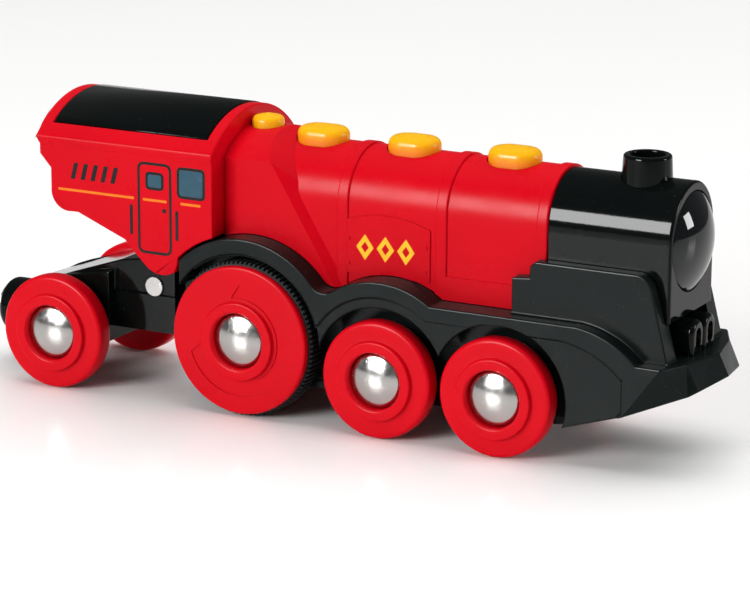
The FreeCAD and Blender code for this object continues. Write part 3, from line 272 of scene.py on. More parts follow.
def tyre_rubber():
    """Matt rubber with a fine grain and a dusting of grey."""
    s = Shade("tyre_rubber")
    base = tuple(colours().rubber)
    bloom = s.ramp(s.noise(240.0, 4.0), 0.35, 0.75, 0.0, 0.5)
    grain = s.noise(3200.0, 2.0)
    tone = s.mix(bloom, base, tint(base, 2.2))
    return s.finish(Base_Color=tone, Roughness=s.ramp(grain, 0.3, 0.7, 0.52, 0.68),
                    Normal=s.bump(grain, 0.00003, 0.5), Specular_IOR_Level=0.25)


def turned_metal(name, base, rough):
    """Bright metal with faint turning marks, a little tarnish and handling scratches."""
    s = Shade(name)
    marks = s.noise(1.0, 2.0, 0.5, s.stretched((900.0, 90.0, 900.0)))
    tarnish = s.ramp(s.noise(320.0, 5.0, 0.6), 0.45, 0.75)
    hair = s.ramp(s.noise(1.0, 2.0, 0.6, s.stretched((4200.0, 400.0, 700.0))), 0.64, 0.70)
    tone = s.mix(tarnish * 0.35, base, tint(base, 0.72))
    roughness = s.ramp(marks, 0.3, 0.7, rough * 0.7, rough * 1.3) + tarnish * 0.05 + hair * 0.08
    skin = s.bump(marks, 0.000006, 0.5)
    skin = s.bump(hair, 0.000006, 0.4, skin)
    return s.finish(Base_Color=tone, Roughness=roughness, Metallic=1.0, Normal=skin)


def printed(name, base, rough):
    """Pad-printed ink: slightly uneven and a shade duller than the plastic."""
    s = Shade(name)
    cover = s.ramp(s.noise(900.0, 3.0), 0.3, 0.7)
    tone = s.mix(cover, tint(base, 0.90), tint(base, 1.06))
    return s.finish(Base_Color=tone, Roughness=s.ramp(cover, 0.0, 1.0, rough * 0.9, rough * 1.15),
                    Normal=s.bump(s.noise(2500.0, 1.0), 0.000004, 0.5), Specular_IOR_Level=0.15)


def lamp_plastic():
    """Smoky clear dome over a dark lamp."""
    s = Shade("lamp_dome")
    base = tuple(colours().lamp)
    haze = s.ramp(s.noise(120.0, 3.0), 0.3, 0.7)
    tone = s.mix(haze, base, tint(base, 1.5))
    return s.finish(Base_Color=tone, Roughness=s.ramp(haze, 0.0, 1.0, 0.03, 0.07),
                    Normal=s.bump(s.noise(300.0, 1.0), 0.000008, 0.3), Specular_IOR_Level=0.42)


def board_green():
    """Solder mask with copper tracks showing faintly through."""
    s = Shade("board_green")
    tracks = s.add("ShaderNodeTexWave", {"wave_type": "BANDS", "bands_direction": "Y"}, {
        "Vector": s.place(), "Scale": 260.0, "Distortion": 2.0, "Detail": 1.0}, output="Fac")
    line = s.ramp(tracks, 0.80, 0.88)
    tone = s.mix(line, SOLDER_MASK, COPPER_TRACK)
    return s.finish(Base_Color=tone, Roughness=s.ramp(line, 0.0, 1.0, 0.35, 0.28),
                    Normal=s.bump(line, 0.00002, 0.6))


def cell_sleeve():
    """Printed sleeve of the cell: a dark body with a paler end."""
    s = Shade("cell_sleeve")
    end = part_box("battery")[1].x
    band = s.ramp(s.along("X"), end - 14 * MM, end - 13.6 * MM)
    tone = s.mix(band, SLEEVE_DARK, SLEEVE_BAND)
    worn = s.mix(s.ramp(s.noise(300.0, 4.0), 0.6, 0.8, 0.0, 0.3), tone, SLEEVE_WORN)
    roughness = s.ramp(s.noise(90.0), 0.3, 0.7, 0.25, 0.4)
    return s.finish(Base_Color=worn, Roughness=roughness, Metallic=0.2)


def finishes():
    """Every finish by name, made once."""
    if not hasattr(finishes, "made"):
        c = colours()
        red, black, satin, steel = tuple(c.red), tuple(c.black), tuple(c.satin), tuple(c.steel)
        finishes.made = {
            "body_red": moulded("body_red", red, 0.30, 0.06),
            "wheel_red": moulded("wheel_red", tint(red, 1.04), 0.30, 0.08, 1.4, 0.10),
            "gloss_black": moulded("gloss_black", black, 0.08, 0.12, 0.7, 0.05),
            "satin_black": moulded("satin_black", satin, 0.24, 0.09, 1.6, 0.08),
            "dull_black": moulded("dull_black", tint(satin, 0.9), 0.5, 0.2, 2.5, 0.10),
            "button_yellow": button_plastic(),
            "tyre_rubber": tyre_rubber(),
            "cap_steel": turned_metal("cap_steel", steel, 0.17),
            "pin_steel": turned_metal("pin_steel", tint(steel, 0.8), 0.30),
            "magnet_nickel": turned_metal("magnet_nickel", NICKEL, 0.28),
            "brass": turned_metal("brass", tuple(c.brass), 0.22),
            "reflector": turned_metal("reflector", MIRROR, 0.08),
            "lamp_dome": lamp_plastic(),
            "led_epoxy": moulded("led_epoxy", EPOXY, 0.15, 0.5),
            "gear_acetal": moulded("gear_acetal", ACETAL, 0.4, 0.4, 1.5),
            "board_green": board_green(),
            "cell_sleeve": cell_sleeve(),
            "print_black": printed("print_black", INK_BLACK, 0.3),
            "print_window": printed("print_window", tuple(c.window), 0.24),
            "print_amber": printed("print_amber", tuple(c.amber_foot_shade_and_stripes), 0.34),
            "print_yellow": printed("print_yellow", INK_YELLOW, 0.34),
        }
    return finishes.made


NODE_FINISH = {
    "body_red": ("boiler_shell", "cab_shell"),
    "gloss_black": ("smokebox", "rear_truck", "truck_base", "front_coupling"),
    "satin_black": ("chassis", "bottom_plate"),
    "dull_black": ("swivel_block", "button_switches", "speaker"),
    "pin_steel": ("drive_axle", "rear_axle", "middle_axle", "front_axle", "cross_pin", "king_pin",
                  "motor_shaft", "gear_pins", "bottom_screws", "motor"),
    "magnet_nickel": ("rear_magnet",),
    "brass": ("coupling_pins", "battery_contacts"),
    "reflector": ("headlight_reflector",),
    "led_epoxy": ("headlight_led",),
    "board_green": ("circuit_board",),
    "cell_sleeve": ("battery",),
    "gear_acetal": ("drive_gear", "first_gear", "second_gear", "motor_pinion", "gearbox_plates"),
}

SOFT_EDGED = ("chassis", "cab_shell", "rear_truck")


def soften_edges(obj):
    """Break the sharp edges of a packed moulding so that they catch the light."""
    seams = obj.modifiers.new("closed seams", "WELD")
    seams.merge_threshold = SAME_POINT
    edge = obj.modifiers.new("edge rounding", "BEVEL")
    edge.width = sizes().edge_soft
    edge.segments = 3
    edge.limit_method = "ANGLE"
    edge.angle_limit = math.radians(40)
    edge.use_clamp_overlap = False
    flats = obj.modifiers.new("flat faces", "WEIGHTED_NORMAL")
    flats.keep_sharp = True


# ---- mesh making -------------------------------------------------------------------------------
def softened(points, steps=5):
    """Outline of (a, b) or (a, b, radius) points, with each corner that has a radius rounded."""
    out = []
    count = len(points)
    for index, point in enumerate(points):
        here = Vector(point[:2])
        if len(point) < 3 or point[2] <= 0:
            out.append(here)
            continue
        before = Vector(points[index - 1][:2]) - here
        after = Vector(points[(index + 1) % count][:2]) - here
        turn = before.angle(after)
        reach = min(point[2] / math.tan(turn / 2), before.length * 0.49, after.length * 0.49)
        start = here + before.normalized() * reach
        end = here + after.normalized() * reach
        for step in range(steps + 1):
            t = step / steps
            out.append(start * (1 - t) ** 2 + here * 2 * t * (1 - t) + end * t * t)
    return out


def new_piece(name, bm, finish, body, sharp=35.0):
    """Turn a bmesh into a smooth-shaded object that rides on a body."""
    bmesh.ops.remove_doubles(bm, verts=bm.verts, dist=SAME_POINT / 10)
    bmesh.ops.recalc_face_normals(bm, faces=bm.faces)
    mesh = bpy.data.meshes.new(name)
    bm.to_mesh(mesh)
    bm.free()
    mesh.shade_smooth()
    mesh.set_sharp_from_angle(angle=math.radians(sharp))
    piece = bpy.data.objects.new(name, mesh)
    bpy.context.scene.collection.objects.link(piece)
    piece.data.materials.append(finishes()[finish])
    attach(piece, body)
    return piece


def ball_radius(reach, rise):
    """Radius of the ball whose cap is this high and has this radius at its foot."""
    return (reach ** 2 + rise ** 2) / (2 * rise)


def lathe(bm, profile, origin, axis, turns):
    """Turn a closed or open profile of (radius, distance along the axis) about the axis."""
    across = axis.orthogonal().normalized()
    third = axis.cross(across)
    rings = []
    for radius, distance in profile:
        foot = origin + axis * distance
        if radius < 1e-9:
            rings.append([bm.verts.new(foot)] * turns)
            continue
        ring = []
        for step in range(turns):
            angle = 2 * math.pi * step / turns
            spoke = across * math.cos(angle) + third * math.sin(angle)
            ring.append(bm.verts.new(foot + spoke * radius))
        rings.append(ring)
    for inner, outer in zip(rings, rings[1:]):
        for step in range(turns):
            quad = [inner[step], inner[(step + 1) % turns], outer[(step + 1) % turns], outer[step]]
            corners = list(dict.fromkeys(quad))
            if len(corners) > 2:
                bm.faces.new(corners)


def bridge_loops(bm, loops):
    """Join rings of the same number of points with a band of faces each."""
    for first, second in zip(loops, loops[1:]):
        for k in range(len(first)):
            after = (k + 1) % len(first)
            bm.faces.new([first[k], first[after], second[after], second[k]])


def extrude_outline(bm, outline, place, depth):
    """Flat outline and a copy of it shifted by a depth, with walls between."""
    front = [bm.verts.new(place(point)) for point in outline]
    back = [bm.verts.new(place(point) + depth) for point in outline]
    bm.faces.new(front)
    bm.faces.new(list(reversed(back)))
    for index in range(len(front)):
        after = (index + 1) % len(front)
        bm.faces.new([front[index], back[index], back[after], front[after]])


def frame_outline(bm, outer, inner, place, depth):
    """Flat ring between two outlines of the same number of points, with a depth."""
    layers = []
    for shift in (Vector((0, 0, 0)), depth):
        layers.append([[bm.verts.new(place(p) + shift) for p in line] for line in (outer, inner)])
    count = len(outer)
    for index in range(count):
        after = (index + 1) % count
        for (big, small), flip in ((layers[0], False), (layers[1], True)):
            face = [big[index], big[after], small[after], small[index]]
            bm.faces.new(list(reversed(face)) if flip else face)
        for side in (0, 1):
            low, high = layers[0][side], layers[1][side]
            bm.faces.new([low[index], low[after], high[after], high[index]])


# ---- wheels, tyres and caps --------------------------------------------------------------------
HUB_PROUD = 0.95 * MM       # hub ring in front of the wheel's face
HUB_RING_R = 7.1 * MM
HUB_WELL_R = 5.2 * MM
HUB_WELL_DEEP = 1.15 * MM
AXLE_HOLE_R = 1.5 * MM
DISC_THICK = 1.4 * MM       # red disc in front of the tyre
DISC_EDGE = 0.6 * MM
TYRE_SEAT_R = 11.6 * MM
TYRE_SEAT_WIDE = 4.4 * MM
TYRE_BORE_R = 11.65 * MM
TYRE_SHOULDER = 0.35 * MM
RUNNING_WIDE = 4.4 * MM
CAP_R = 4.85 * MM
CAP_SIDE = 0.8 * MM
CAP_RISE = 1.3 * MM
CRANK_R = (7.75 * MM, 10.2 * MM)
CRANK_DEEP = 0.22 * MM
CRANK_TURN = (-166.0, 96.0)


def outer_face(node, side):
    """How far a node reaches out on its side of the locomotive."""
    low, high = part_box(node)
    return high.y if side > 0 else -low.y


def wheel_profile(node, side, drive):
    """Profile of a wheel from its own packed box, with softened running edge and hub ring."""
    low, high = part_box(node)
    outer = outer_face(node, side)
    inner = outer - (high.y - low.y)
    radius = (high.z - low.z) / 2
    soft, edge = sizes().ring_soft, sizes().rim_soft
    face = outer - HUB_PROUD
    floor = face - HUB_WELL_DEEP
    boss = 2 * AXLE_HOLE_R
    hub = [(HUB_RING_R + 0.55 * MM, face), (HUB_RING_R + 0.12 * MM, face + 0.06 * MM),
           (HUB_RING_R, face + 0.25 * MM), (HUB_RING_R, outer, soft), (HUB_WELL_R, outer, 0.45 * MM),
           (HUB_WELL_R - 0.15 * MM, floor), (AXLE_HOLE_R, floor)]
    if drive:
        groove = face - DISC_THICK
        back = groove - TYRE_SEAT_WIDE
        rim = [(AXLE_HOLE_R, inner), (boss, inner), (boss, back), (TYRE_SEAT_R, back),
               (TYRE_SEAT_R, groove), (radius, groove, 0.3 * MM), (radius, face, DISC_EDGE),
               (10.6 * MM, face)]
    else:
        back = face - RUNNING_WIDE
        rim = [(AXLE_HOLE_R, inner), (boss, inner, 0.2 * MM), (boss + 0.3 * MM, back),
               (radius, back, edge), (radius, face, edge), (radius - 1.9 * MM, face)]
    return [(p.x, p.y) for p in softened(rim + hub, 6)]


def build_wheel(node, body, side, drive=False):
    """Red wheel turned about its own axle, on one side of the locomotive."""
    centre = middle(node)
    bm = bmesh.new()
    axis = ACROSS * side
    lathe(bm, wheel_profile(node, side, drive), Vector((centre.x, 0, centre.z)), axis, sizes().turns)
    piece = new_piece(node + "_moulding", bm, "wheel_red", body)
    if drive:
        cut_crank_recess(piece, centre, outer_face(node, side) - HUB_PROUD, side)
    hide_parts(node)


def cut_crank_recess(piece, centre, face, side):
    """Sink the shallow crank sector into the face of a drive wheel with a boolean cut."""
    inner, outer = CRANK_R
    first, last = CRANK_TURN
    steps = 72

    def arc(radius, start, end):
        places = []
        for k in range(steps + 1):
            turn = math.radians(start + (end - start) * k / steps)
            places.append(Vector((centre.x + radius * math.cos(turn), side * (face - CRANK_DEEP),
                                  centre.z + radius * math.sin(turn))))
        return places

    bm = bmesh.new()
    rim = arc(outer, first + 4, last - 7)
    core = arc(inner, first - 5, last + 5)
    shift = ACROSS * side * CRANK_DEEP * 3
    low_rim, low_core, top_rim, top_core = (
        [bm.verts.new(p + rise) for p in line]
        for line, rise in ((rim, Vector()), (core, Vector()), (rim, shift), (core, shift)))
    for k in range(steps):
        bm.faces.new([low_rim[k], low_rim[k + 1], low_core[k + 1], low_core[k]])
        bm.faces.new([top_rim[k], top_core[k], top_core[k + 1], top_rim[k + 1]])
        bm.faces.new([low_rim[k], top_rim[k], top_rim[k + 1], low_rim[k + 1]])
        bm.faces.new([low_core[k], low_core[k + 1], top_core[k + 1], top_core[k]])
    for k in (0, steps):
        bm.faces.new([low_rim[k], low_core[k], top_core[k], top_rim[k]])
    bmesh.ops.recalc_face_normals(bm, faces=bm.faces)
    mesh = bpy.data.meshes.new("crank_recess_tool")
    bm.to_mesh(mesh)
    bm.free()
    tool = bpy.data.objects.new("crank_recess_tool", mesh)
    bpy.context.scene.collection.objects.link(tool)
    cut = piece.modifiers.new("crank recess", "BOOLEAN")
    cut.operation = "DIFFERENCE"
    cut.solver = "EXACT"
    cut.object = tool
    settle(piece)
    bpy.data.objects.remove(tool)
    piece.data.set_sharp_from_angle(angle=math.radians(28))


def settle(piece):
    """Apply every modifier on a piece."""
    graph = bpy.context.evaluated_depsgraph_get()
    finished = bpy.data.meshes.new_from_object(piece.evaluated_get(graph))
    piece.modifiers.clear()
    old = piece.data
    piece.data = finished
    bpy.data.meshes.remove(old)


def build_tyre(node):
    """Rubber tyre with a ribbed tread, each rib a flat-topped tooth across the width."""
    low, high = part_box(node)
    centre = middle(node)
    radius = (high.z - low.z) / 2
    count, depth = sizes().rib_count, sizes().rib_depth
    bm = bmesh.new()

    def vertex(r, turn, y):
        angle = 2 * math.pi * turn
        return bm.verts.new((centre.x + r * math.cos(angle), y, centre.z + r * math.sin(angle)))

    tread = []
    for y, drop in ((low.y, -TYRE_SHOULDER), (low.y + TYRE_SHOULDER, 0.0),
                    (high.y - TYRE_SHOULDER, 0.0), (high.y, -TYRE_SHOULDER)):
        top, valley = radius + drop, radius - depth + min(0.0, drop + depth)
        tread.append([vertex(r, (rib + part) / count, y) for rib in range(count)
                      for part, r in ((0.10, valley), (0.28, top), (0.72, top), (0.90, valley))])
    around = len(tread[0])
    bore = [[vertex(TYRE_BORE_R, k / around, y) for k in range(around)] for y in (low.y, high.y)]
    bridge_loops(bm, [bore[0]] + tread + [bore[1], bore[0]])
    piece = new_piece(node + "_ribbed", bm, "tyre_rubber", "drive_wheelset", 30)
    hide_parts(node)


def cap_profile():
    """Domed cap from its foot up its short side and over the dome."""
    rim, side, rise = CAP_R, CAP_SIDE, CAP_RISE
    profile = [(0.0, 0.0), (rim - 0.2 * MM, 0.0), (rim, 0.2 * MM), (rim, side - 0.3 * MM),
               (rim - 0.04 * MM, side - 0.12 * MM)]
    dome = ball_radius(rim, rise)
    span = math.asin(rim / dome)
    steps = 16
    for step in range(1, steps + 1):
        angle = span * (1 - step / steps)
        profile.append((dome * math.sin(angle), side + rise - dome * (1 - math.cos(angle))))
    return profile


def build_caps(node, body):
    """Both caps of an axle, as one piece."""
    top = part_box(node)[1].y
    centre = middle(node)
    bm = bmesh.new()
    for side in (-1, 1):
        foot = Vector((centre.x, side * (top - CAP_SIDE - CAP_RISE), centre.z))
        lathe(bm, cap_profile(), foot, ACROSS * side, SMALL_TURNS)
    piece = new_piece(node + "_domed", bm, "cap_steel", body, 40)
    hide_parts(node)


# ---- buttons, chimney, headlight, roof ---------------------------------------------------------
BUTTON_CROWN = 0.35 * MM
OVAL_BUTTON = (9.6 * MM, 7.2 * MM, 1.6 * MM)        # length, width, height hidden in the shell
ROUND_BUTTON = (5.8 * MM, 5.8 * MM, 1.0 * MM)
CHIMNEY_LIP_R = 4.14 * MM
CHIMNEY_BORE_R = 3.0 * MM
LENS_RISE = 3.0 * MM
LENS_WALL = 1.2 * MM
ROOF_RISE = 6.5 * MM
ROOF_EAVE_Y = 15.2 * MM
ROOF_PROUD = 0.15 * MM
ROOF_THICK = 0.8 * MM
ROOF_SOFT = 0.35 * MM


def stadium_ring(long, wide, count):
    """Evenly spread points round an oval with straight sides."""
    straight = long - wide
    r = wide / 2
    total = 2 * straight + 2 * math.pi * r
    points = []
    for k in range(count):
        run = total * k / count
        if run < straight / 2:
            points.append((run, -r))
        elif run < straight / 2 + math.pi * r:
            turn = (run - straight / 2) / r - math.pi / 2
            points.append((straight / 2 + r * math.cos(turn), r * math.sin(turn)))
        elif run < 1.5 * straight + math.pi * r:
            points.append((straight / 2 - (run - straight / 2 - math.pi * r), r))
        elif run < 1.5 * straight + 2 * math.pi * r:
            turn = (run - 1.5 * straight - math.pi * r) / r + math.pi / 2
            points.append((-straight / 2 + r * math.cos(turn), r * math.sin(turn)))
        else:
            points.append((-straight / 2 + run - 1.5 * straight - 2 * math.pi * r, -r))
    return points


def build_button(node, long, wide, hidden):
    """Push button with softly crowned top and rounded shoulders."""
    low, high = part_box(node)
    centre = middle(node)
    soft = sizes().button_soft if long > wide else sizes().button_soft * 0.7
    shoulder = high.z - BUTTON_CROWN
    rings = [(0.0, low.z + hidden), (0.0, shoulder - soft)]
    for step in range(1, 8):
        turn = math.pi / 2 * step / 7
        rings.append((soft * (1 - math.cos(turn)), shoulder - soft * (1 - math.sin(turn))))
    for step in range(1, 7):
        t = step / 6
        inset = soft + (wide / 2 - soft) * 0.98 * t
        rings.append((inset, high.z - BUTTON_CROWN * (1 - math.sin(math.pi / 2 * t))))
    bm = bmesh.new()
    loops = []
    for inset, z in rings:
        ring = stadium_ring(long - 2 * inset, max(wide - 2 * inset, 0.02 * MM), SMALL_TURNS)
        loops.append([bm.verts.new((centre.x + x, centre.y + y, z)) for x, y in ring])
    bridge_loops(bm, loops)
    bm.faces.new(loops[-1])
    bm.faces.new(list(reversed(loops[0])))
    body = node.replace("push_button", "button")
    piece = new_piece(node + "_knob", bm, "button_yellow", body, 50)
    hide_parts(node)


def build_chimney():
    """Slightly tapering pipe with a rounded lip and a smooth bore."""
    low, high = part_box("chimney")
    centre = middle("chimney")
    outline = [(CHIMNEY_BORE_R, low.z), ((high.x - low.x) / 2, low.z),
               (CHIMNEY_LIP_R, high.z, 0.6 * MM), (CHIMNEY_BORE_R, high.z, 0.35 * MM)]
    points = [(p.x, p.y) for p in softened(outline, 8)]
    bm = bmesh.new()
    lathe(bm, points + points[:1], Vector((centre.x, 0, 0)), UP, SMALL_TURNS)
    piece = new_piece("chimney_pipe", bm, "gloss_black", "body", 50)
    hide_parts("chimney")


def build_lens():
    """Clear dome with a flat rim and a hollow back."""
    low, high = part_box("headlight_lens")
    centre = middle("headlight_lens")
    radius = (high.z - low.z) / 2
    ball = ball_radius(radius, LENS_RISE)

    def dome(angle, top):
        return ball * math.sin(angle), top - ball * (1 - math.cos(angle))

    outer_span, outer_steps = math.asin(radius / ball), 24
    outer = [dome(outer_span * (1 - step / outer_steps), high.x) for step in range(outer_steps)]
    outer[0] = (outer[0][0] * 0.995, outer[0][1])
    inner_top = high.x - LENS_WALL
    inner_span, inner_steps = math.asin((radius - LENS_WALL) / ball), 12
    inner = [dome(inner_span * step / inner_steps, inner_top) for step in range(inner_steps + 1)]
    back = [(radius - LENS_WALL, low.x), (radius, low.x), (radius, high.x - LENS_RISE - 0.15 * MM)]
    bm = bmesh.new()
    lathe(bm, back + outer + [(0.0, high.x)] + inner + back[:1], Vector((0, 0, centre.z)), AHEAD, 128)
    piece = new_piece("headlight_dome", bm, "lamp_dome", "body", 50)
    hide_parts("headlight_lens")


def build_roof():
    """Black roof inlay, a thin curved sheet with softened edges."""
    low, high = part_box("roof_panel")
    half = (high.y - low.y) / 2
    radius = ball_radius(ROOF_EAVE_Y, ROOF_RISE) + ROOF_PROUD
    axis_z = high.z - radius
    span = math.asin(half / radius)
    rows, soft = 48, ROOF_SOFT
    bm = bmesh.new()

    def arc(x, reach):
        """Points across the roof, at the radius that reach gives for -1 to 1."""
        line = []
        for k in range(rows + 1):
            t = 2 * k / rows - 1
            r = reach(t)
            line.append(bm.verts.new((x, r * math.sin(span * t), axis_z + r * math.cos(span * t))))
        return line

    def top(drop):
        def reach(t):
            edge = max(0.0, (abs(t) - 1) * half / soft + 1)
            fall = drop - soft * (1 - math.sqrt(max(0.0, 1 - edge * edge)))
            return radius + max(fall, -soft * 1.2)
        return reach

    def foot(t):
        return radius - ROOF_THICK

    stations = [(low.x, -soft), (low.x + 0.15 * soft, -0.5 * soft), (low.x + soft, 0.0),
                (high.x - soft, 0.0), (high.x - 0.15 * soft, -0.5 * soft), (high.x, -soft)]
    grid = [arc(x, top(drop)) for x, drop in stations]
    feet = [arc(x, foot) for x in (low.x, high.x)]
    loops = [feet[0]] + grid + [feet[1], feet[0]]
    for a, b in zip(loops, loops[1:]):
        for k in range(rows):
            bm.faces.new([a[k], a[k + 1], b[k + 1], b[k]])
    for k in (0, rows):
        bm.faces.new([loop[k] for loop in loops[:-1]])
    piece = new_piece("roof_inlay", bm, "gloss_black", "body", 40)
    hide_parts("roof_panel")


# ---- print on the cab and boiler ---------------------------------------------------------------
# Places are (from x, to x), (from z, to z), in millimetres from the rear axle and the floor.
CAB_SIDE_Y = 15.0
DOOR = ((18.35, 24.9), (27.7, 43.9))
DOOR_WINDOW = ((20.0, 23.3), (39.4, 42.2))
CAB_WINDOW = ((26.5, 31.8), (38.5, 43.7))
OUTLINES = ((DOOR, 1.2), (DOOR_WINDOW, 0.7), (CAB_WINDOW, 0.8))     # with corner radii
HANDRAILS = (((16.45, 17.05), (30.6, 36.1)), ((25.9, 26.5), (30.4, 35.9)))
HANDRAIL_ROUND = 0.28
KNOB = (23.6, 35.6)
KNOB_R = 0.42
VENT = ((4.0, 39.4), (4.9, 39.4), (5.7, 42.4), (4.8, 42.4))
VENT_PITCH = 2.1
VENT_COUNT = 5
STRIPES = ((1.35, 17.3), (19.2, 24.1), (27.0, 31.1))
STRIPE_Z = (37.08, 37.52)
LOZENGE_X = (61.2, 65.2, 69.2)
LOZENGE_Z = 32.4
LOZENGE_OUTER = (1.7, 2.3)          # half width, half height
LOZENGE_INNER = (0.75, 1.0)
BOILER_SIDE_Y = {-1: 9.8, 1: 9.5}


def rounded_box(x, z, radius):
    return softened([(x[0], z[0], radius), (x[1], z[0], radius), (x[1], z[1], radius),
                     (x[0], z[1], radius)], 5)


def grown(x, z, by):
    return (x[0] - by, x[1] + by), (z[0] - by, z[1] + by)


def lozenge(x, z, half):
    wide, tall = half
    return [(x - wide, z), (x, z - tall), (x + wide, z), (x, z + tall)]


def print_shapes(name, finish, shapes, side, y):
    """Thin ink shapes on one side, as one piece: each is an outline, or a pair for a ring."""
    bm = bmesh.new()
    depth = ACROSS * side * sizes().print_rise

    def place(point):
        return station(point[0], side * y, point[1])

    for shape in shapes:
        if isinstance(shape, tuple):
            frame_outline(bm, shape[0], shape[1], place, depth)
        else:
            extrude_outline(bm, shape, place, depth)
    new_piece(name, bm, finish, "body")


def build_cab_print(word, side):
    """Door, windows, handrails, vents and stripes of one cab side."""
    half = sizes().print_line / MM / 2
    rings = []
    for box, radius in OUTLINES:
        rings.append((rounded_box(*grown(*box, half), radius + half),
                      rounded_box(*grown(*box, -half), radius - half)))
    rails = [rounded_box(x, z, HANDRAIL_ROUND) for x, z in HANDRAILS]
    turns = [k * math.pi / 8 for k in range(16)]
    knob = [(KNOB[0] + KNOB_R * math.cos(turn), KNOB[1] + KNOB_R * math.sin(turn)) for turn in turns]
    vents = [softened([(x + VENT_PITCH * k, z, 0.2) for x, z in VENT]) for k in range(VENT_COUNT)]
    panes = [rounded_box(*grown(*window, -half - 0.02), 0.3) for window in (DOOR_WINDOW, CAB_WINDOW)]
    stripes = [rounded_box(x, STRIPE_Z, 0.1) for x in STRIPES]
    for name, finish, slot, shapes in (
            ("cab_outlines_", "print_black", "black_gloss", rings + rails + [knob] + vents),
            ("cab_windows_", "print_window", "black_gloss", panes),
            ("cab_stripes_", "print_amber", "yellow_plastic", stripes)):
        print_shapes(name + word, finish, shapes, side, CAB_SIDE_Y)


def build_boiler_print(word, side):
    """A plain row of lozenges on the boiler's side panel."""
    shapes = [(lozenge(x, LOZENGE_Z, LOZENGE_OUTER), lozenge(x, LOZENGE_Z, LOZENGE_INNER))
              for x in LOZENGE_X]
    print_shapes("boiler_lozenges_" + word, "print_yellow", shapes, side,
                 BOILER_SIDE_Y[side])


# ---- operators ---------------------------------------------------------------------------------
class TRAIN_OT_finishes(Operator):
    """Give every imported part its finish"""
    bl_idname = "train.finishes"
    bl_label = "Finish packed parts"

    def execute(self, context):
        for finish, nodes in NODE_FINISH.items():
            for node in nodes:
                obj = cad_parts[node]
                obj.data.materials.clear()
                obj.data.materials.append(finishes()[finish])
        for node in SOFT_EDGED:
            soften_edges(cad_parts[node])
        return {"FINISHED"}


class TRAIN_OT_wheels(Operator):
    """Build the two drive wheels and the six small wheels"""
    bl_idname = "train.wheels"
    bl_label = "Wheels"

    def execute(self, context):
        for word, side in SIDES:
            build_wheel("drive_wheel_" + word, "drive_wheelset", side, drive=True)
            for axle in AXLES:
                node = axle + "_wheel_" + word
                build_wheel(node, node, side)
        return {"FINISHED"}


class TRAIN_OT_tyres(Operator):
    """Build the ribbed rubber tyres of the drive wheels"""
    bl_idname = "train.tyres"
    bl_label = "Drive tyres"

    def execute(self, context):
        for word, _ in SIDES:
            build_tyre("drive_tyre_" + word)
        return {"FINISHED"}


class TRAIN_OT_caps(Operator):
    """Build the domed steel caps on the axle ends"""
    bl_idname = "train.caps"
    bl_label = "Axle caps"

    def execute(self, context):
        build_caps("drive_caps", "drive_wheelset")
        build_caps("rear_caps", "truck")
        build_caps("middle_caps", "body")
        build_caps("front_caps", "body")
        return {"FINISHED"}


class TRAIN_OT_buttons(Operator):
    """Build the yellow push buttons"""
    bl_idname = "train.buttons"
    bl_label = "Push buttons"

    def execute(self, context):
        for number in (1, 2, 3):
            build_button("push_button_%d" % number, *OVAL_BUTTON)
        build_button("start_button", *ROUND_BUTTON)
        return {"FINISHED"}


class TRAIN_OT_front(Operator):
    """Build the chimney and the headlight dome"""
    bl_idname = "train.front"
    bl_label = "Chimney and headlight"

    def execute(self, context):
        build_chimney()
        build_lens()
        return {"FINISHED"}


class TRAIN_OT_roof(Operator):
    """Build the black inlay of the cab roof"""
    bl_idname = "train.roof"
    bl_label = "Roof inlay"

    def execute(self, context):
        build_roof()
        return {"FINISHED"}


class TRAIN_OT_print(Operator):
    """Print the door, windows, rails and stripes on the cab and the lozenges on the boiler"""
    bl_idname = "train.print"
    bl_label = "Printed trim"

    def execute(self, context):
        for word, side in SIDES:
            build_cab_print(word, side)
            build_boiler_print(word, side)
        return {"FINISHED"}


# ---- studio ------------------------------------------------------------------------------------
VIEW_AZIMUTH = math.radians(27.704)
VIEW_ELEVATION = math.radians(14.742)
VIEW_ROLL = math.radians(0.315)
VIEW_DISTANCE = 585.757 * MM
VIEW_TARGET = (58.068, 0.0, 20.229)     # from the rear axle, in millimetres
VIEW_LENS = 158.12
FLOOR_HALF = 6.0
AIR_GLOW = 0.12


def add_camera():
    """Long lens, low and round towards the front from the right side."""
    back = Vector((math.sin(VIEW_AZIMUTH) * math.cos(VIEW_ELEVATION),
                   -math.cos(VIEW_AZIMUTH) * math.cos(VIEW_ELEVATION), math.sin(VIEW_ELEVATION)))
    right = Vector((math.cos(VIEW_AZIMUTH), math.sin(VIEW_AZIMUTH), 0))
    up = back.cross(right)
    tilted = right * math.cos(VIEW_ROLL) + up * math.sin(VIEW_ROLL)
    raised = up * math.cos(VIEW_ROLL) - right * math.sin(VIEW_ROLL)
    data = bpy.data.cameras.new("studio_camera")
    data.lens = VIEW_LENS
    data.clip_start = 0.01
    data.clip_end = 20.0
    camera = bpy.data.objects.new("studio_camera", data)
    turn = Matrix((tilted, raised, back)).transposed().to_4x4()
    camera.matrix_world = Matrix.Translation(station(*VIEW_TARGET) + back * VIEW_DISTANCE) @ turn
    bpy.context.scene.collection.objects.link(camera)
    bpy.context.scene.camera = camera


def add_light(name, place, aim, size, power):
    """Softbox at a place, facing an aim, with a width and height in metres and a power in watts."""
    data = bpy.data.lights.new(name, "AREA")
    data.shape = "RECTANGLE"
    data.size, data.size_y = size
    data.energy = power
    light = bpy.data.objects.new(name, data)
    light.location = place
    light.rotation_euler = (Vector(aim) - Vector(place)).to_track_quat("-Z", "Y").to_euler()
    bpy.context.scene.collection.objects.link(light)
    return light


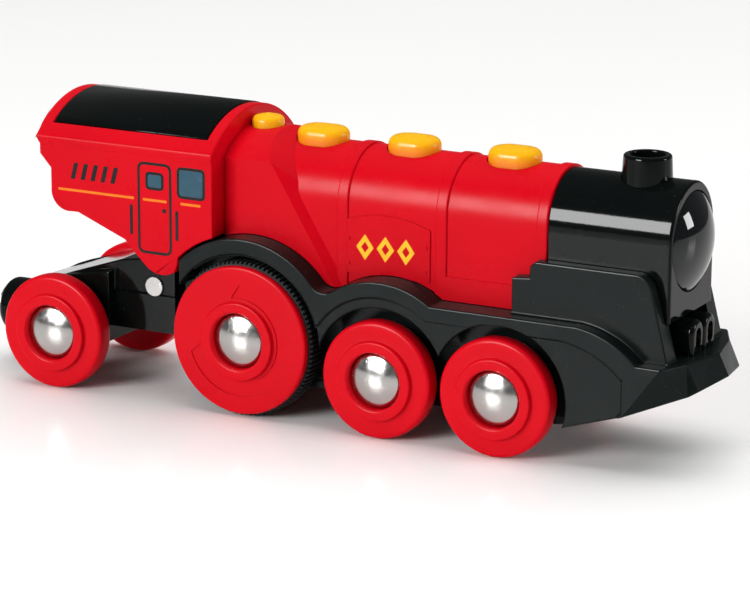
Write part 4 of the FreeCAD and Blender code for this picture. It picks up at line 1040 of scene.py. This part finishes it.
def floor_finish():
    """Polished pale board that mirrors the wheels faintly."""
    s = Shade("studio_floor")
    base = tuple(colours().floor)
    cloud = s.ramp(s.noise(3.0, 2.0), 0.3, 0.7)
    tone = s.mix(cloud, tint(base, 0.99), base)
    return s.finish(Base_Color=tone, Roughness=s.ramp(cloud, 0.0, 1.0, 0.20, 0.24), IOR=1.13)


class TRAIN_OT_stage(Operator):
    """Set up the studio floor, lights and camera"""
    bl_idname = "train.stage"
    bl_label = "Studio"

    def execute(self, context):
        bm = bmesh.new()
        bmesh.ops.create_grid(bm, x_segments=1, y_segments=1, size=FLOOR_HALF)
        mesh = bpy.data.meshes.new("studio_floor")
        bm.to_mesh(mesh)
        bm.free()
        floor = bpy.data.objects.new("studio_floor", mesh)
        floor.data.materials.append(floor_finish())
        context.scene.collection.objects.link(floor)
        # the card is seen only in the gloss, and the overhead box only lights what it falls on
        add_light("key_softbox", (-0.38, -1.05, 0.48), (0, 0, 0.03), (0.53, 0.47), 10.5)
        card = add_light("highlight_card", (-0.39, -1.08, 0.49), (0, 0, 0.03), (0.55, 0.48), 24.0)
        card.visible_diffuse = False
        add_light("side_softbox", (1.20, 0.50, 0.36), (0.05, 0, 0.04), (0.30, 0.34), 5.0)
        overhead = add_light("overhead_softbox", (0.0, 0.7, 1.5), (0, 0.5, 0), (2.6, 2.6), 42.0)
        overhead.visible_glossy = False
        world = bpy.data.worlds.new("studio_air")
        world.use_nodes = True
        background = world.node_tree.nodes["Background"]
        background.inputs["Color"].default_value = (1.0, 1.0, 1.0, 1.0)
        background.inputs["Strength"].default_value = AIR_GLOW
        context.scene.world = world
        context.scene.view_settings.view_transform = "Standard"
        add_camera()
        return {"FINISHED"}


STEPS = (TRAIN_OT_stage, TRAIN_OT_finishes, TRAIN_OT_wheels, TRAIN_OT_tyres, TRAIN_OT_caps,
         TRAIN_OT_buttons, TRAIN_OT_front, TRAIN_OT_roof, TRAIN_OT_print)


class TRAIN_PT_panel(Panel):
    """Lists the pieces of the locomotive that can be built"""
    bl_idname = "TRAIN_PT_panel"
    bl_label = "Toy Train"
    bl_space_type = "VIEW_3D"
    bl_region_type = "UI"
    bl_category = "Toy Train"

    def draw(self, context):
        for step in STEPS:
            self.layout.operator(step.bl_idname)
        for group in (context.scene.train_sizes, context.scene.train_colours):
            for key in group.__annotations__:
                self.layout.prop(group, key)


CLASSES = (TrainSizes, TrainColours) + STEPS + (TRAIN_PT_panel,)


def register():
    for cls in CLASSES:
        bpy.utils.register_class(cls)
    bpy.types.Scene.train_sizes = PointerProperty(type=TrainSizes)
    bpy.types.Scene.train_colours = PointerProperty(type=TrainColours)


def unregister():
    del bpy.types.Scene.train_colours
    del bpy.types.Scene.train_sizes
    for cls in reversed(CLASSES):
        bpy.utils.unregister_class(cls)


def main():
    register()
    bpy.ops.train.stage()
    bpy.ops.train.finishes()
    bpy.ops.train.wheels()
    bpy.ops.train.tyres()
    bpy.ops.train.caps()
    bpy.ops.train.buttons()
    bpy.ops.train.front()
    bpy.ops.train.roof()
    bpy.ops.train.print()


if __name__ == "__main__":
    main()
